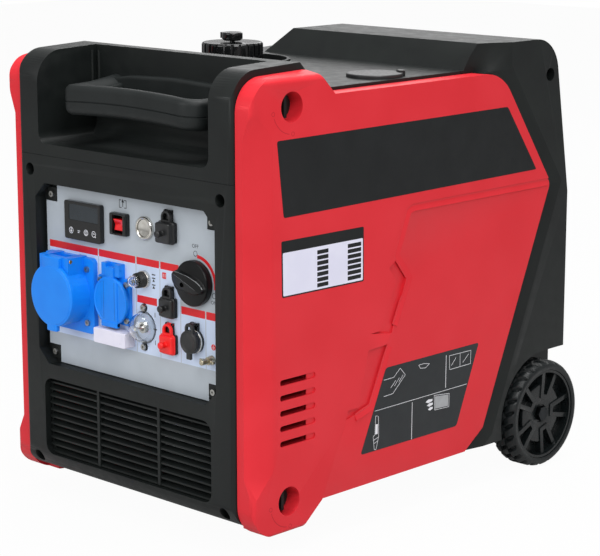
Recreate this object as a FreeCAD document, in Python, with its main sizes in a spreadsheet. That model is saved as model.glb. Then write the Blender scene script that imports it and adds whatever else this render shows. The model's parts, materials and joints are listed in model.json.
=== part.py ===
import FreeCAD, Part
import Sketcher
import os
import re

# An enclosed inverter generator: a moulded case over an engine, an alternator and an inverter,
# carried on two wheels at the rear and two rubber feet under the front.
# x runs to the right as seen from the control panel, y from the panel to the rear, z up.
# All lengths are in millimetres. Pieces are drawn with y = 0 at the front frame's flat face and
# z = 0 on the ground, then moved so that the origin lies under the middle of the whole machine.

clearances = {
    "seatGap": 0.3,        # between pieces that rest against each other
    "seamGap": 0.6,        # visible seam between the red covers and the black pieces
    "journalGap": 0.05,    # radial, between a turning pin and its hole
    "holeGap": 0.6,        # radial, round a body that passes through a sheet
    "capGap": 0.4,         # between a lid or cap and the socket that it covers
}

caseSizes = {
    "caseHalf": 190,       # middle plane to the flat of a side cover
    "seamHalf": 167,       # middle plane to the side of the black pieces
    "sideWall": 4.5, "wall": 3,
    "lipY": 4, "lipX": 177.5, "lipRound": 6, "lipBack": 7.5, "bevelEnd": 33,
    "bevelTopZ": 432, "bevelLowZ": 88, "bevelTilt": 4, "bevelPeak": 34.5, "bevelDip": 26,
    "coverLow": 23, "coverTop": 494.5, "coverLowRound": 4, "coverTopRound": 6,
    "coverCrown": 4, "footRearY": 78, "skirtFrontY": 107, "skirtZ": 46.5,
    "skirtRearY": 344, "heelY": 376, "heelZ": 68.5, "elbowY": 491.5, "elbowZ": 337,
    "shoulderY": 397, "beltZ": 472.5, "stepY": 125, "browY": 100, "browZ": 497.5,
    "rollRound": 34, "elbowRound": 10, "shoulderRound": 53, "wrapHigh": 60,
    "wrapHalf": 149.5,
}

coverDetails = {
    "upperLatchY": 61.6, "upperLatchZ": 464.7, "lowerLatchY": 56.8, "lowerLatchZ": 56.3,
    "latchBoreR": 15.5, "latchFloor": 2, "latchBossWall": 2.5, "latchShaftR": 5,
    "latchDialR": 13, "latchDialThick": 5, "latchBladeHalf": 2, "latchBladeHigh": 6,
    "tongueHalf": 11, "tongueTall": 4, "tongueThick": 4,
    "ventCount": 5, "ventPitch": 16.2, "ventHigh": 6.3, "ventLowZ": 116,
    "ventFrontY": 44, "ventRearY": 84, "ventBlindY": 96, "ventBlindDeep": 1.5,
    "panelDeep": 1.6, "grooveDeep": 3.2, "panelTopZ": 344, "panelTopY": 247.6,
    "bendUpperY": 238, "bendUpperZ": 340, "bendMidY": 217.5, "bendMidZ": 290,
    "creaseTopY": 143, "creaseTopZ": 124,
    "gateTopY": 210, "gateTopZ": 279, "gateMidY": 222, "gateMidZ": 263,
    "gateLowY": 197.5, "gateLowZ": 213, "gateTailY": 181.5, "grooveWide": 17,
    "sillTopY": 174, "sillTopZ": 195, "sillLowY": 146, "sillLowZ": 135,
}

frontSizes = {
    "frameTop": 390, "frameDepth": 30, "frameLow": 31, "frameTuck": 12,
    "frameLowRound": 28, "frameEdge": 6,
    "windowHalf": 141.5, "windowLow": 157.4, "windowTop": 359.8, "windowCut": 16,
    "plateFront": 12, "plateThick": 2, "plateHalf": 137, "plateLow": 158.5, "plateTop": 357.5,
    "notchWide": 18.5, "notchHigh": 19, "bossHalf": 7.5, "bossInset": 11,
    "grilleHalf": 133.5, "grilleLow": 53, "grilleTop": 141, "grilleRound": 12,
    "louvreCount": 11, "louvrePitch": 8, "louvreThick": 2, "louvreDeep": 6.5,
    "dividerX": 48.5, "dividerWide": 4, "grilleSeatY": 9,
    "frameHoleX": 149.5, "frameHoleUpperZ": 373, "frameHoleLowerZ": 46, "frameHoleR": 6.8,
    "frameHoleDeep": 18, "frameBossR": 9.8,
}

handleSizes = {
    "handleTop": 505, "handleFrontTop": 501, "handleRear": 97, "handleFoot": 124.7,
    "recessHalf": 133.5, "recessFloor": 403, "recessBack": 84, "recessRound": 12,
    "recessFloorRound": 20,
    "gripHalf": 107, "gripFront": 4.5, "gripDeep": 30, "gripLow": 437, "gripSplit": 453,
    "gripTop": 470, "gripRound": 11, "gripCorner": 24, "loopHalf": 79, "loopRear": 74,
    "loopCorner": 11, "gripSeam": 0.2,
}

topSizes = {
    "topZ": 476, "topSkirt": 440, "topRear": 351.7,
    "fuelX": -98, "fuelY": 260, "recessR": 63, "recessDeep": 10, "lipWide": 4, "lipHigh": 2.5,
    "neckR": 22, "neckBoreR": 19, "neckTop": 492.7,
    "accessX": 133, "accessY": 248, "accessR": 25, "accessFlangeR": 30.6, "accessCapHigh": 4,
    "accessPlug": 8, "accessTab": 7,
    "fuelCapR": 35.5, "fuelCapBase": 479, "fuelCapHigh": 18.5, "fuelCapInner": 14, "fuelRibs": 24,
    "fuelRibDeep": 1.6, "fuelRibWide": 3, "ventPinR": 3, "ventBase": 1.5, "ventKnobR": 12,
    "ventKnobHigh": 9.5,
    "ventTabLong": 5.5, "ventTabWide": 7,
}

rearSizes = {
    "humpTop": 505, "humpFootY": 357, "humpBrowY": 376, "humpRearY": 454, "humpRound": 40,
    "rearY": 523.5, "rearBendZ": 325, "rearStepZ": 139.5, "tailHalf": 152, "tailY": 545,
    "humpLeftFoot": 142, "humpLeftBrow": 112, "ribAY": 366, "ribBX": 177, "ribBY": 389,
    "ribCY": 414, "bevelSide": 5, "bevelWide": 17,
    "wellR": 76, "exhaustX": 40, "exhaustZ": 235, "exhaustHoleR": 19,
    "rearSlots": 8, "rearSlotPitch": 17, "rearSlotHigh": 6, "rearSlotLowZ": 290,
    "rearSlotHalf": 110, "rearScrewY": 485, "rearScrewZ": 463.5, "rearScrewR": 7.5,
}

socketSizes = {
    "bigX": -94, "bigZ": 242.5, "bigHalf": 40.5, "bigTall": 41.5, "bigFlange": 6, "bigR": 34,
    "bigBoreR": 28.5, "bigFront": 15.2, "bigBoreEnd": 5, "bigBack": 46, "bigContactR": 3,
    "bigContactPcd": 14, "bigContactDeep": 14, "bigCorner": 6,
    "bigLidR": 34.5, "bigLidThick": 5, "bigHingeY": -11.4, "bigHingeUp": 38.9, "bigKnuckleR": 4,
    "bigKnuckleHalf": 13.5, "bigPinR": 2, "bigCheek": 10,
    "homeX": -22.7, "homeZ": 244, "homeHalf": 25, "homeFlange": 4, "homeR": 24.5,
    "homeBoreR": 19.5, "homeFront": 5, "homeBoreDeep": 17.5, "homeBack": 38, "homeBodyR": 22,
    "homeContactR": 2.6, "homeContactX": 9.5, "homeContactDeep": 11,
    "homeLidR": 26.5, "homeLidThick": 3.2, "homeHingeY": 5.5, "homeHingeUp": 34,
    "homeTowerHalf": 14, "homeTowerTop": 40.4, "homeTowerFront": 3, "homeKnuckleR": 3,
    "homeKnuckleHalf": 6.7, "homePinR": 1.2, "homeTabHalf": 13, "homeTabLow": 28.5,
}

panelSizes = {
    "screenX": -70.5, "screenZ": 323, "screenHalf": 29.5, "screenTall": 21, "screenFront": 6,
    "screenBack": 26, "screenRound": 2.5,
    "rockerX": -13, "rockerZ": 327.5, "rockerHalf": 13, "rockerTall": 12, "rockerFront": 8,
    "rockerBack": 34, "rockerWellHalf": 7.2, "rockerWellTall": 9.5, "rockerWellDeep": 26,
    "rockerBodyHalf": 9, "rockerAxisY": 14, "keyHalf": 6.9, "keyTall": 6.5, "keyTip": 7,
    "keyMiddle": 5, "keyBack": 5, "keyPinR": 1.2, "keyPinLong": 1.4, "keyTilt": 8,
    "startX": 25.2, "startZ": 328, "startBezelR": 12.6, "startBoreR": 9.5, "startFront": 8.5,
    "startThreadR": 11, "startBack": 34, "startButtonFront": 9.5, "startButtonLong": 12,
    "dcX": 62.3, "dcZ": 328.5, "dcHalf": 12, "dcFaceHalf": 11, "dcBodyHalf": 9, "dcWellHalf": 6,
    "dcWellEnd": 24, "dcBack": 32, "dcCapFront": 0,
    "terminalX": 62, "blackZ": 249, "redZ": 210, "terminalHalf": 11, "terminalR": 7,
    "terminalBoreR": 4.1, "terminalBoreEnd": 24, "terminalBack": 30, "terminalCapFront": 3,
    "faceY": 9, "pullR": 4, "pullLong": 8, "capCorner": 3.5,
    "loopHalfWide": 7, "loopHigh": 11, "loopHoleHalf": 4, "loopFront": 5.5, "loopBack": 8.4,
    "strapAxisY": 10.2, "strapAxisUp": 10.2, "strapKnuckleR": 1.5, "strapKnuckleHalf": 3,
    "strapPinR": 0.8, "earInner": 3.3, "earOuter": 5.6, "earFoot": 3.4, "earR": 1.45,
    "auxX": 100, "auxZ": 219.5, "auxR": 12.5, "auxFront": 4, "auxBoreR": 8, "auxBoreEnd": 25,
    "auxBodyR": 10, "auxBack": 32, "auxCapR": 12.3, "auxCapFront": 0, "auxStrapUp": 18,
    "auxStrapHalf": 3, "auxTabLow": 18.5,
    "lampLeft": -45, "lampRight": 5.5, "lampLow": 196.5, "lampTop": 213, "lampFront": -3,
    "lampWall": 1.6, "lampRound": 2,
    "breakerX": 22.5, "breakerZ": 273, "breakerR": 9.3, "breakerFront": 8, "breakerBack": 40,
    "breakerBodyR": 8, "bootR": 6.2, "bootInnerR": 4.9, "bootTip": -8.5, "breakerButtonR": 3.5,
    "breakerButtonFront": -3, "breakerButtonEnd": 20, "breakerBoreEnd": 24,
    "toggleX": 21.4, "toggleZ": 221, "toggleNutR": 6, "toggleFront": 8, "toggleBack": 34,
    "toggleBoreR": 3.6, "toggleBallR": 3.5, "toggleLeverR": 1.7, "toggleTip": -2,
    "toggleBallY": 12, "togglePinR": 1, "togglePinHalf": 4.5, "domeR": 16.5, "domeWall": 1.2, "domeFlangeR": 17.3, "domeFlange": 1.2,
    "domeScrewUp": 21.3,
    "knobX": 102.2, "knobZ": 281, "knobR": 24, "knobTopR": 22.5, "knobBase": 11.6, "knobTop": -2,
    "knobRidgeTop": -9, "knobRidgeHalf": 5, "knobLobe": 28, "knobShaftR": 4, "knobShaftEnd": 26,
    "earthX": 123.9, "earthZ": 203, "earthStudR": 3, "earthStudFront": -4, "earthStudEnd": 22,
    "earthNutR": 6, "earthNutThick": 3.5, "wingR": 5, "wingThick": 5, "wingSpan": 10.5,
    "wingWide": 2.4,
    "screwHeadR": 3.3, "screwHead": 2.4, "screwShankR": 1.6, "screwLong": 12,
    "bigScrewIn": 10, "homeScrewX": 21, "homeScrewZ": 19.5, "screwSocketR": 1.4,
}

runningSizes = {
    "wheelY": 484, "wheelR": 63.5, "wheelOuter": 196, "wheelWide": 36, "tyreInnerR": 53,
    "treadCount": 26, "treadDeep": 4.5, "treadWide": 5.5, "treadSlant": 0.45, "treadShoulder": 7,
    "rimR": 49.5, "rimInset": 2, "webInset": 15, "webThick": 4, "hubR": 14, "hubInset": 9,
    "spokeCount": 5, "spokeOuter": 15, "spokeWall": 5.5, "spokeFoot": 17, "spokeHigh": 9,
    "axleR": 6, "axleHeadR": 9, "axleHead": 6, "axleWasher": 1.5,
    "footX": 100, "footY": 128, "footR": 15, "footTopR": 12, "footHigh": 22, "footStudR": 3.5,
    "trayZ": 44, "trayThick": 4, "trayFront": 18, "trayBossR": 17,
    "lugX": 163, "lugThick": 3, "lugHalf": 19, "lugArm": 6, "lugTop": 76,
}

engineSizes = {
    "shaftZ": 172, "shaftR": 12, "shaftFront": 150, "shaftEnd": 262,
    "blockHalf": 70, "blockFront": 205, "blockRear": 320, "blockLow": 74, "blockTop": 250,
    "footPadHalf": 12, "cylinderHalf": 44, "cylinderFront": 225, "cylinderRear": 305,
    "cylinderTop": 338, "finCount": 7, "finPitch": 11, "finThick": 3, "finOut": 9,
    "statorFront": 172, "statorR": 58, "statorBoreR": 28, "statorSlots": 12, "slotWide": 9,
    "slotDeep": 20, "rotorR": 74, "rotorInnerR": 63, "rotorFront": 158, "rotorEnd": 200,
    "rotorWeb": 6, "fanR": 82, "fanThick": 8, "fanBlades": 12, "fanBladeThick": 3,
    "mufflerHalf": 85, "mufflerFront": 352, "mufflerRear": 470, "mufflerLow": 160,
    "mufflerTop": 310, "mufflerRound": 18, "portR": 16, "portZ": 290, "pipeR": 14,
    "pipeBoreR": 11.5, "pipeEnd": 521,
    "tankLeft": -162, "tankRight": 72, "tankFront": 132, "tankRear": 345, "tankLow": 350,
    "tankTop": 452, "tankRound": 18, "tankEarR": 9, "tankEarInset": 14,
    "unitHalf": 112, "unitFront": 52, "unitRear": 136, "unitHigh": 60, "unitFins": 12,
    "unitFinHigh": 14, "unitFinThick": 3,
    "batteryLeft": -145, "batteryRight": -88, "batteryFront": 150, "batteryRear": 245,
    "batteryHigh": 88, "batteryPostR": 4, "batteryPostHigh": 6,
    "airLeft": 74, "airRight": 150, "airFront": 222, "airRear": 330, "airLow": 190,
    "airTop": 292, "airDuctR": 15, "airDuctZ": 268,
}

sizes = {**clearances, **caseSizes, **coverDetails, **frontSizes, **handleSizes, **topSizes,
         **rearSizes, **socketSizes, **panelSizes, **runningSizes, **engineSizes}

lidReach = "(bigFront + capGap + bigLidThick)"
middleY = f"((wheelY + wheelR - {lidReach}) / 2)"

doc = FreeCAD.newDocument("inverter_generator")
sheet = doc.addObject("Spreadsheet::Sheet", "Sizes")
for row, (alias, size) in enumerate(sizes.items(), start=1):
    sheet.set(f"A{row}", alias)
    sheet.set(f"B{row}", str(size))
    sheet.setAlias(f"B{row}", alias)
doc.recompute()

Vector = FreeCAD.Vector
Rotation = FreeCAD.Rotation
directions = {"x": Vector(1, 0, 0), "y": Vector(0, 1, 0), "z": Vector(0, 0, 1)}
sketchTurns = {
    "yz": (Rotation(Vector(0, 1, 0), Vector(0, 0, 1), Vector(1, 0, 0), "ZXY"), "x"),
    "xz": (Rotation(Vector(1, 0, 0), Vector(0, 0, 1), Vector(0, -1, 0), "ZXY"), "y"),
    "xy": (Rotation(), "z"),
}
otherAxes = {"x": "yz", "y": "xz", "z": "xy"}
nodes = []


def named(text):
    # the same expression with the sheet's name before each size
    return re.sub(r"[A-Za-z]\w*",
                  lambda word: "Sizes." + word.group() if word.group() in sizes else word.group(),
                  str(text))


def number(text):
    return float(sheet.evalExpression(named(text)))


def bind(thing, path, text):
    thing.setExpression(path, named(text))


def draw(sketch, points):
    # a closed outline: each point is (u, v) or (u, v, corner radius), all as expressions
    first = sketch.GeometryCount
    count = len(points)
    spots = [Vector(number(point[0]), number(point[1]), 0) for point in points]
    for i in range(count):
        sketch.addGeometry(Part.LineSegment(spots[i], spots[(i + 1) % count]), False)
    for i in range(count):
        sketch.addConstraint(Sketcher.Constraint("Coincident", first + i, 2,
                                                 first + (i + 1) % count, 1))
        for kind, value, text in (("DistanceX", spots[i].x, points[i][0]),
                                  ("DistanceY", spots[i].y, points[i][1])):
            held = sketch.addConstraint(Sketcher.Constraint(kind, -1, 1, first + i, 1, value))
            bind(sketch, f"Constraints[{held}]", text)
    for i in range(count):
        if len(points[i]) < 3:
            continue
        before = (i - 1) % count
        radius = number(points[i][2])
        made = sketch.GeometryCount
        sketch.fillet(first + before, first + i, (spots[before] + spots[i]) / 2,
                      (spots[i] + spots[(i + 1) % count]) / 2, radius, True, True)
        arc = next(k for k in range(made, sketch.GeometryCount)
                   if isinstance(sketch.Geometry[k], Part.ArcOfCircle))
        held = sketch.addConstraint(Sketcher.Constraint("Radius", arc, radius))
        bind(sketch, f"Constraints[{held}]", points[i][2])


def prism(name, plane, points, start, end):
    # an outline on a plane, drawn out from start to end along the plane's normal axis
    sketch = doc.addObject("Sketcher::SketchObject", name + "_outline")
    draw(sketch, points)
    turn, axis = sketchTurns[plane]
    sketch.Placement = FreeCAD.Placement(Vector(0, 0, 0), turn)
    bind(sketch, "Placement.Base." + axis, start)
    return drawnOut(name, sketch, axis, f"({end}) - ({start})")


def drawnOut(name, outline, axis, length):
    solid = doc.addObject("Part::Extrusion", name)
    solid.Base = outline
    solid.DirMode = "Custom"
    solid.Dir = directions[axis]
    solid.Solid = True
    bind(solid, "LengthFwd", length)
    return solid


def shrunk(name, source, amount, drawnAt, start, end):
    # a side outline drawn at drawnAt, made smaller all round by amount and drawn out along x
    loop = doc.addObject("Part::Offset2D", name + "_offset")
    loop.Source = source.Base
    loop.Join = 2
    bind(loop, "Value", f"-({amount})")
    solid = drawnOut(name, loop, "x", f"({end}) - ({start})")
    bind(solid, "Placement.Base.x", f"({start}) - ({drawnAt})")
    return solid


def box(name, xs, ys, zs):
    solid = doc.addObject("Part::Box", name)
    for side, axis, (low, high) in (("Length", "x", xs), ("Width", "y", ys), ("Height", "z", zs)):
        bind(solid, side, f"({high}) - ({low})")
        bind(solid, "Placement.Base." + axis, low)
    return solid


def turned(kind, name, axis, start, end, centre):
    solid = doc.addObject(kind, name)
    solid.Placement = FreeCAD.Placement(Vector(0, 0, 0), Rotation(directions["z"],
                                                                  directions[axis]))
    bind(solid, "Placement.Base." + axis, start)
    for other, place in zip(otherAxes[axis], centre):
        bind(solid, "Placement.Base." + other, place)
    bind(solid, "Height", f"({end}) - ({start})")
    return solid


def rod(name, axis, start, end, centre, radius):
    solid = turned("Part::Cylinder", name, axis, start, end, centre)
    bind(solid, "Radius", radius)
    return solid


def taper(name, axis, start, end, centre, startRadius, endRadius):
    solid = turned("Part::Cone", name, axis, start, end, centre)
    bind(solid, "Radius1", startRadius)
    bind(solid, "Radius2", endRadius)
    return solid


def join(name, pieces):
    if len(pieces) == 1:
        return pieces[0]
    solid = doc.addObject("Part::MultiFuse", name)
    solid.Shapes = pieces
    solid.Refine = True
    return solid


def common(name, pieces):
    solid = doc.addObject("Part::MultiCommon", name)
    solid.Shapes = pieces
    return solid


def cut(name, base, tools):
    solid = doc.addObject("Part::Cut", name)
    solid.Base = base
    solid.Tool = join(name + "_tools", tools)
    solid.Refine = True
    return solid


def mirrored(name, source):
    solid = doc.addObject("Part::Mirroring", name)
    solid.Source = source
    solid.Normal = directions["x"]
    return solid


def node(label, solid, at=("0", "0", "0"), moved=True):
    # a finished piece: at is where its own origin goes, before the shift to the common origin
    solid.Label = label
    if moved:
        for axis, place in zip("xyz", at):
            shift = f" - {middleY}" if axis == "y" else ""
            bind(solid, "Placement.Base." + axis, f"({place}){shift}")
    nodes.append(solid)
    return solid


def group(label, pieces):
    # several separate solids of one kind in one node
    solid = doc.addObject("Part::Compound", label + "_group")
    solid.Links = pieces
    return node(label, solid)


def bodySketch(body, plane, offset="0"):
    sketch = body.newObject("Sketcher::SketchObject", body.Name + "_outline")
    role = plane.upper() + "_Plane"
    face = next(part for part in body.Origin.OriginFeatures if part.Role == role)
    sketch.AttachmentSupport = [(face, "")]
    sketch.MapMode = "FlatFace"
    bind(sketch, "AttachmentOffset.Base.z", offset)
    return sketch


def bodyAxis(body, axis):
    return next(part for part in body.Origin.OriginFeatures if part.Role == axis + "_Axis")


def pad(body, sketch, length, back=False):
    feature = body.newObject("PartDesign::Pad", body.Name + "_pad")
    feature.Profile = sketch
    bind(feature, "Length", length)
    feature.Reversed = back
    return feature


def pocket(body, sketch, length, back=False):
    feature = body.newObject("PartDesign::Pocket", body.Name + "_pocket")
    feature.Profile = sketch
    bind(feature, "Length", length)
    feature.Reversed = back
    return feature


def revolved(body, sketch, axis):
    feature = body.newObject("PartDesign::Revolution", body.Name + "_revolution")
    feature.Profile = sketch
    feature.ReferenceAxis = (bodyAxis(body, axis), [""])
    feature.Angle = 360
    return feature


def polar(body, features, axis, count):
    pattern = body.newObject("PartDesign::PolarPattern", body.Name + "_pattern")
    pattern.Originals = features
    pattern.Axis = (bodyAxis(body, axis), [""])
    pattern.Angle = 360
    bind(pattern, "Occurrences", count)
    body.Tip = pattern
    return pattern


edge = "(seamHalf + seamGap)"
latchPlaces = (("upper", "upperLatchY", "upperLatchZ", "seamHalf"),
               ("lower", "lowerLatchY", "lowerLatchZ", "lugX + lugThick"))


def sideCovers():
    far = "rearY"
    skin = prism("cover_side", "yz",
                 [("lipY", "coverLow", "rollRound"), ("footRearY", "coverLow", "wall"),
                  ("skirtFrontY", "skirtZ"), ("skirtRearY", "skirtZ"), ("heelY", "heelZ"),
                  ("elbowY", "elbowZ", "elbowRound"), ("shoulderY", "beltZ", "shoulderRound"),
                  ("stepY", "beltZ"), ("browY", "browZ", "wall"),
                  ("lipY", "coverTop", "rollRound")], "wrapHalf", "caseHalf")
    inside = shrunk("cover_hollow_side", skin, "wall", "wrapHalf", "wrapHalf - wall",
                    "caseHalf - sideWall")
    section = prism("cover_section", "xz",
                    [("wrapHalf", "coverLow"), ("caseHalf", "coverLow", "coverLowRound"),
                     ("caseHalf", "browZ - coverCrown", "coverTopRound"), (edge, "browZ + 1"),
                     (edge, "wrapHigh"), ("wrapHalf", "wrapHigh")], "-wall", far)
    inner = "(caseHalf - sideWall)"
    insideSection = prism("cover_hollow_section", "xz",
                          [("wrapHalf - 2*wall", "coverLow + wall"),
                           (inner, "coverLow + wall", "coverLowRound - wall"),
                           (inner, "browZ - coverCrown - wall", "coverTopRound - wall"),
                           ("wrapHalf - 2*wall", "browZ - wall")], "-wall", far)
    plan = prism("cover_plan", "xy",
                 [(edge, "lipY"), ("caseHalf", "lipY", "lipRound"), ("caseHalf", far),
                  ("wrapHalf", far), ("wrapHalf", "frameDepth + seatGap"),
                  (edge, "frameDepth + seatGap")], "0", "browZ + wall")
    insidePlan = prism("cover_hollow_plan", "xy",
                       [("wrapHalf - 2*wall", "lipBack"), ("lipX", "lipBack"),
                        (inner, "bevelEnd - sideWall"), (inner, far),
                        ("wrapHalf - 2*wall", far)], "0", "browZ + wall")
    # the long flat of the front edge: it ends in a slanted facet above and below
    lean = "((caseHalf - lipX)/(bevelEnd - lipY))"
    tilt = "(bevelTilt/(bevelEnd - lipY))"
    corner = f"(lipX - lipY*{lean})"
    reach = f"({corner} + 2*(caseHalf - lipX))"
    flat = prism("cover_flat", "xz",
                 [(corner, f"bevelTopZ - lipY*{tilt}"),
                  (corner, f"bevelLowZ - lipY*{tilt}"),
                  (reach, f"bevelLowZ - lipY*{tilt} - 2*bevelDip"),
                  (reach, f"bevelTopZ - lipY*{tilt} + 2*bevelPeak")], "0", "3*bevelEnd")
    bind(flat, "Dir.x", lean)
    bind(flat, "Dir.z", tilt)
    bind(flat, "LengthFwd", f"3*bevelEnd*sqrt(1 + {lean}^2 + {tilt}^2)")
    block = cut("cover_block", common("cover_body", [skin, section, plan]), [flat])
    hollow = common("cover_hollow", [inside, insideSection, insidePlan])
    shell = cut("cover_shell", block, [hollow])
    posts = [rod(f"cover_post_{which}", "x", edge, "caseHalf", (y, z), "latchBoreR + latchBossWall")
             for which, y, z, _ in latchPlaces]
    bosses = [common("cover_bosses", [block, join("cover_posts", posts)])]
    openings = []
    for which, y, z, seat in latchPlaces:
        bosses.append(rod(f"cover_spacer_{which}", "x", seat, f"{edge} + 1", (y, z),
                          "latchBoreR - seatGap"))
        openings += [rod(f"cover_bore_{which}", "x", f"{edge} + latchFloor", "caseHalf + wall",
                         (y, z), "latchBoreR"),
                     rod(f"cover_hole_{which}", "x", f"({seat}) - wall", "caseHalf", (y, z),
                         "latchShaftR + journalGap")]
    for i in range(int(sizes["ventCount"])):
        low = f"(ventLowZ + {i}*ventPitch)"
        high = f"({low} + ventHigh)"
        bend = "ventHigh/2 - seatGap"
        openings += [
            prism(f"cover_vent_{i}", "yz",
                  [("ventFrontY", low, bend), ("ventRearY", low), ("ventRearY", high),
                   ("ventFrontY", high, bend)], "caseHalf - 2*sideWall", "caseHalf + wall"),
            prism(f"cover_blind_{i}", "yz",
                  [("ventRearY - seatGap", low), ("ventBlindY", low, bend),
                   ("ventBlindY", high, bend), ("ventRearY - seatGap", high)],
                  "caseHalf - ventBlindDeep", "caseHalf + wall")]
    openings.append(prism("cover_panel", "yz",
                          [("elbowY + 2*wall", "panelTopZ"), ("panelTopY", "panelTopZ"),
                           ("bendUpperY", "bendUpperZ"), ("bendMidY", "bendMidZ"),
                           ("gateMidY + grooveWide", "gateMidZ"),
                           ("gateLowY + grooveWide", "gateLowZ - wall"),
                           ("sillTopY + 2*grooveWide", "sillTopZ"),
                           ("sillLowY + 2*grooveWide", "sillLowZ"),
                           ("creaseTopY", "creaseTopZ"), ("skirtFrontY", "skirtZ"),
                           ("skirtFrontY", "coverLow - wall"), ("elbowY + 2*wall", "coverLow - wall")],
                          "caseHalf - panelDeep", "caseHalf + wall"))
    openings.append(prism("cover_gate", "yz",
                          [("gateTopY", "gateTopZ"), ("gateMidY", "gateMidZ"),
                           ("gateLowY", "gateLowZ"), ("gateTailY", "gateLowZ - 1"),
                           ("gateLowY + grooveWide + 2", "gateLowZ - 2*wall"),
                           ("gateMidY + grooveWide", "gateMidZ + 4"),
                           ("gateTopY + grooveWide", "gateTopZ + 11")],
                          "caseHalf - grooveDeep", "caseHalf + wall"))
    openings.append(prism("cover_sill", "yz",
                          [("sillTopY + 4", "sillTopZ"), ("sillLowY + grooveWide", "sillLowZ"),
                           ("sillLowY", "sillLowZ"), ("creaseTopY", "creaseTopZ"),
                           ("sillLowY + 2*grooveWide", "sillLowZ - 2"),
                           ("sillTopY + 2*grooveWide + 2", "sillTopZ + 1")],
                          "caseHalf - grooveDeep", "caseHalf + wall"))
    right = cut("side_cover_right", join("cover_whole", [shell] + bosses), openings)
    node("side_cover_right", right)
    node("side_cover_left", mirrored("side_cover_left", right), moved=False)


def octagon(half, low, high, corner):
    return [(f"-({half}) + {corner}", low), (f"({half}) - {corner}", low),
            (half, f"({low}) + {corner}"), (half, f"({high}) - {corner}"),
            (f"({half}) - {corner}", high), (f"-({half}) + {corner}", high),
            (f"-({half})", f"({high}) - {corner}"), (f"-({half})", f"({low}) + {corner}")]


def rectangle(x, z, half, tall, corner):
    return [(f"{x} - ({half})", f"{z} - ({tall})", corner),
            (f"{x} + ({half})", f"{z} - ({tall})", corner),
            (f"{x} + ({half})", f"{z} + ({tall})", corner),
            (f"{x} - ({half})", f"{z} + ({tall})", corner)]


frameHoles = [(f"{side}frameHoleX", z) for side in ("", "-")
              for z in ("frameHoleUpperZ", "frameHoleLowerZ")]
plateCorners = [(f"{side}(plateHalf - bossInset + seatGap)", z) for side in ("", "-")
                 for z in ("(plateTop - bossInset)", "(plateLow + bossInset)")]
plateBack = "(plateFront + plateThick)"
panelHoles = [
    # the openings that the control plate and the panel behind it leave for each device
    ("big", "y", "bigX", "bigZ", "bigR - 1 + holeGap"),
    ("home", "y", "homeX", "homeZ", "homeBodyR + holeGap"),
    ("start", "y", "startX", "startZ", "startThreadR + holeGap"),
    ("black", "y", "terminalX", "blackZ", "terminalR - 1 + holeGap"),
    ("red", "y", "terminalX", "redZ", "terminalR - 1 + holeGap"),
    ("aux", "y", "auxX", "auxZ", "auxBodyR + holeGap"),
    ("breaker", "y", "breakerX", "breakerZ", "breakerBodyR + holeGap"),
    ("toggle", "y", "toggleX", "toggleZ", "toggleNutR - 1 + holeGap"),
    ("earth", "y", "earthX", "earthZ", "earthStudR + holeGap"),
]
panelWindows = [
    ("screen", "screenX", "screenZ", "screenHalf - 2*wall + holeGap", "screenTall - 2*wall + holeGap"),
    ("rocker", "rockerX", "rockerZ", "rockerBodyHalf + holeGap", "rockerWellTall + 1 + holeGap"),
    ("dc", "dcX", "dcZ", "dcBodyHalf + holeGap", "dcBodyHalf + holeGap"),
]
panelScrewSpots = (
    [(x, z, "seatGap") for x, z in plateCorners]
    + [(f"(bigX {a} (bigHalf - bigScrewIn))", f"(bigZ {b} (bigTall - bigScrewIn - 2))", "bigFlange")
       for a in "+-" for b in "+-"]
    + [(f"(homeX {a} homeScrewX)", f"(homeZ {b} homeScrewZ)", "homeFlange")
       for a in "+-" for b in "+-"]
    + [("toggleX", f"(toggleZ {b} domeScrewUp)", "domeFlange") for b in "+-"])


def deviceCuts(prefix, start, end):
    # cutters for every device, through a sheet that lies between start and end
    cuts = [rod(f"{prefix}_{name}", axis, start, end, (x, z), radius)
            for name, axis, x, z, radius in panelHoles]
    for name, x, z, half, tall in panelWindows:
        cuts.append(prism(f"{prefix}_{name}", "xz", rectangle(x, z, half, tall, "1"), start, end))
    for place, (x, z, _) in enumerate(panelScrewSpots):
        cuts.append(rod(f"{prefix}_screw_{place}", "y", start, end, (x, z),
                        "screwShankR + holeGap"))
    return cuts


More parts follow.
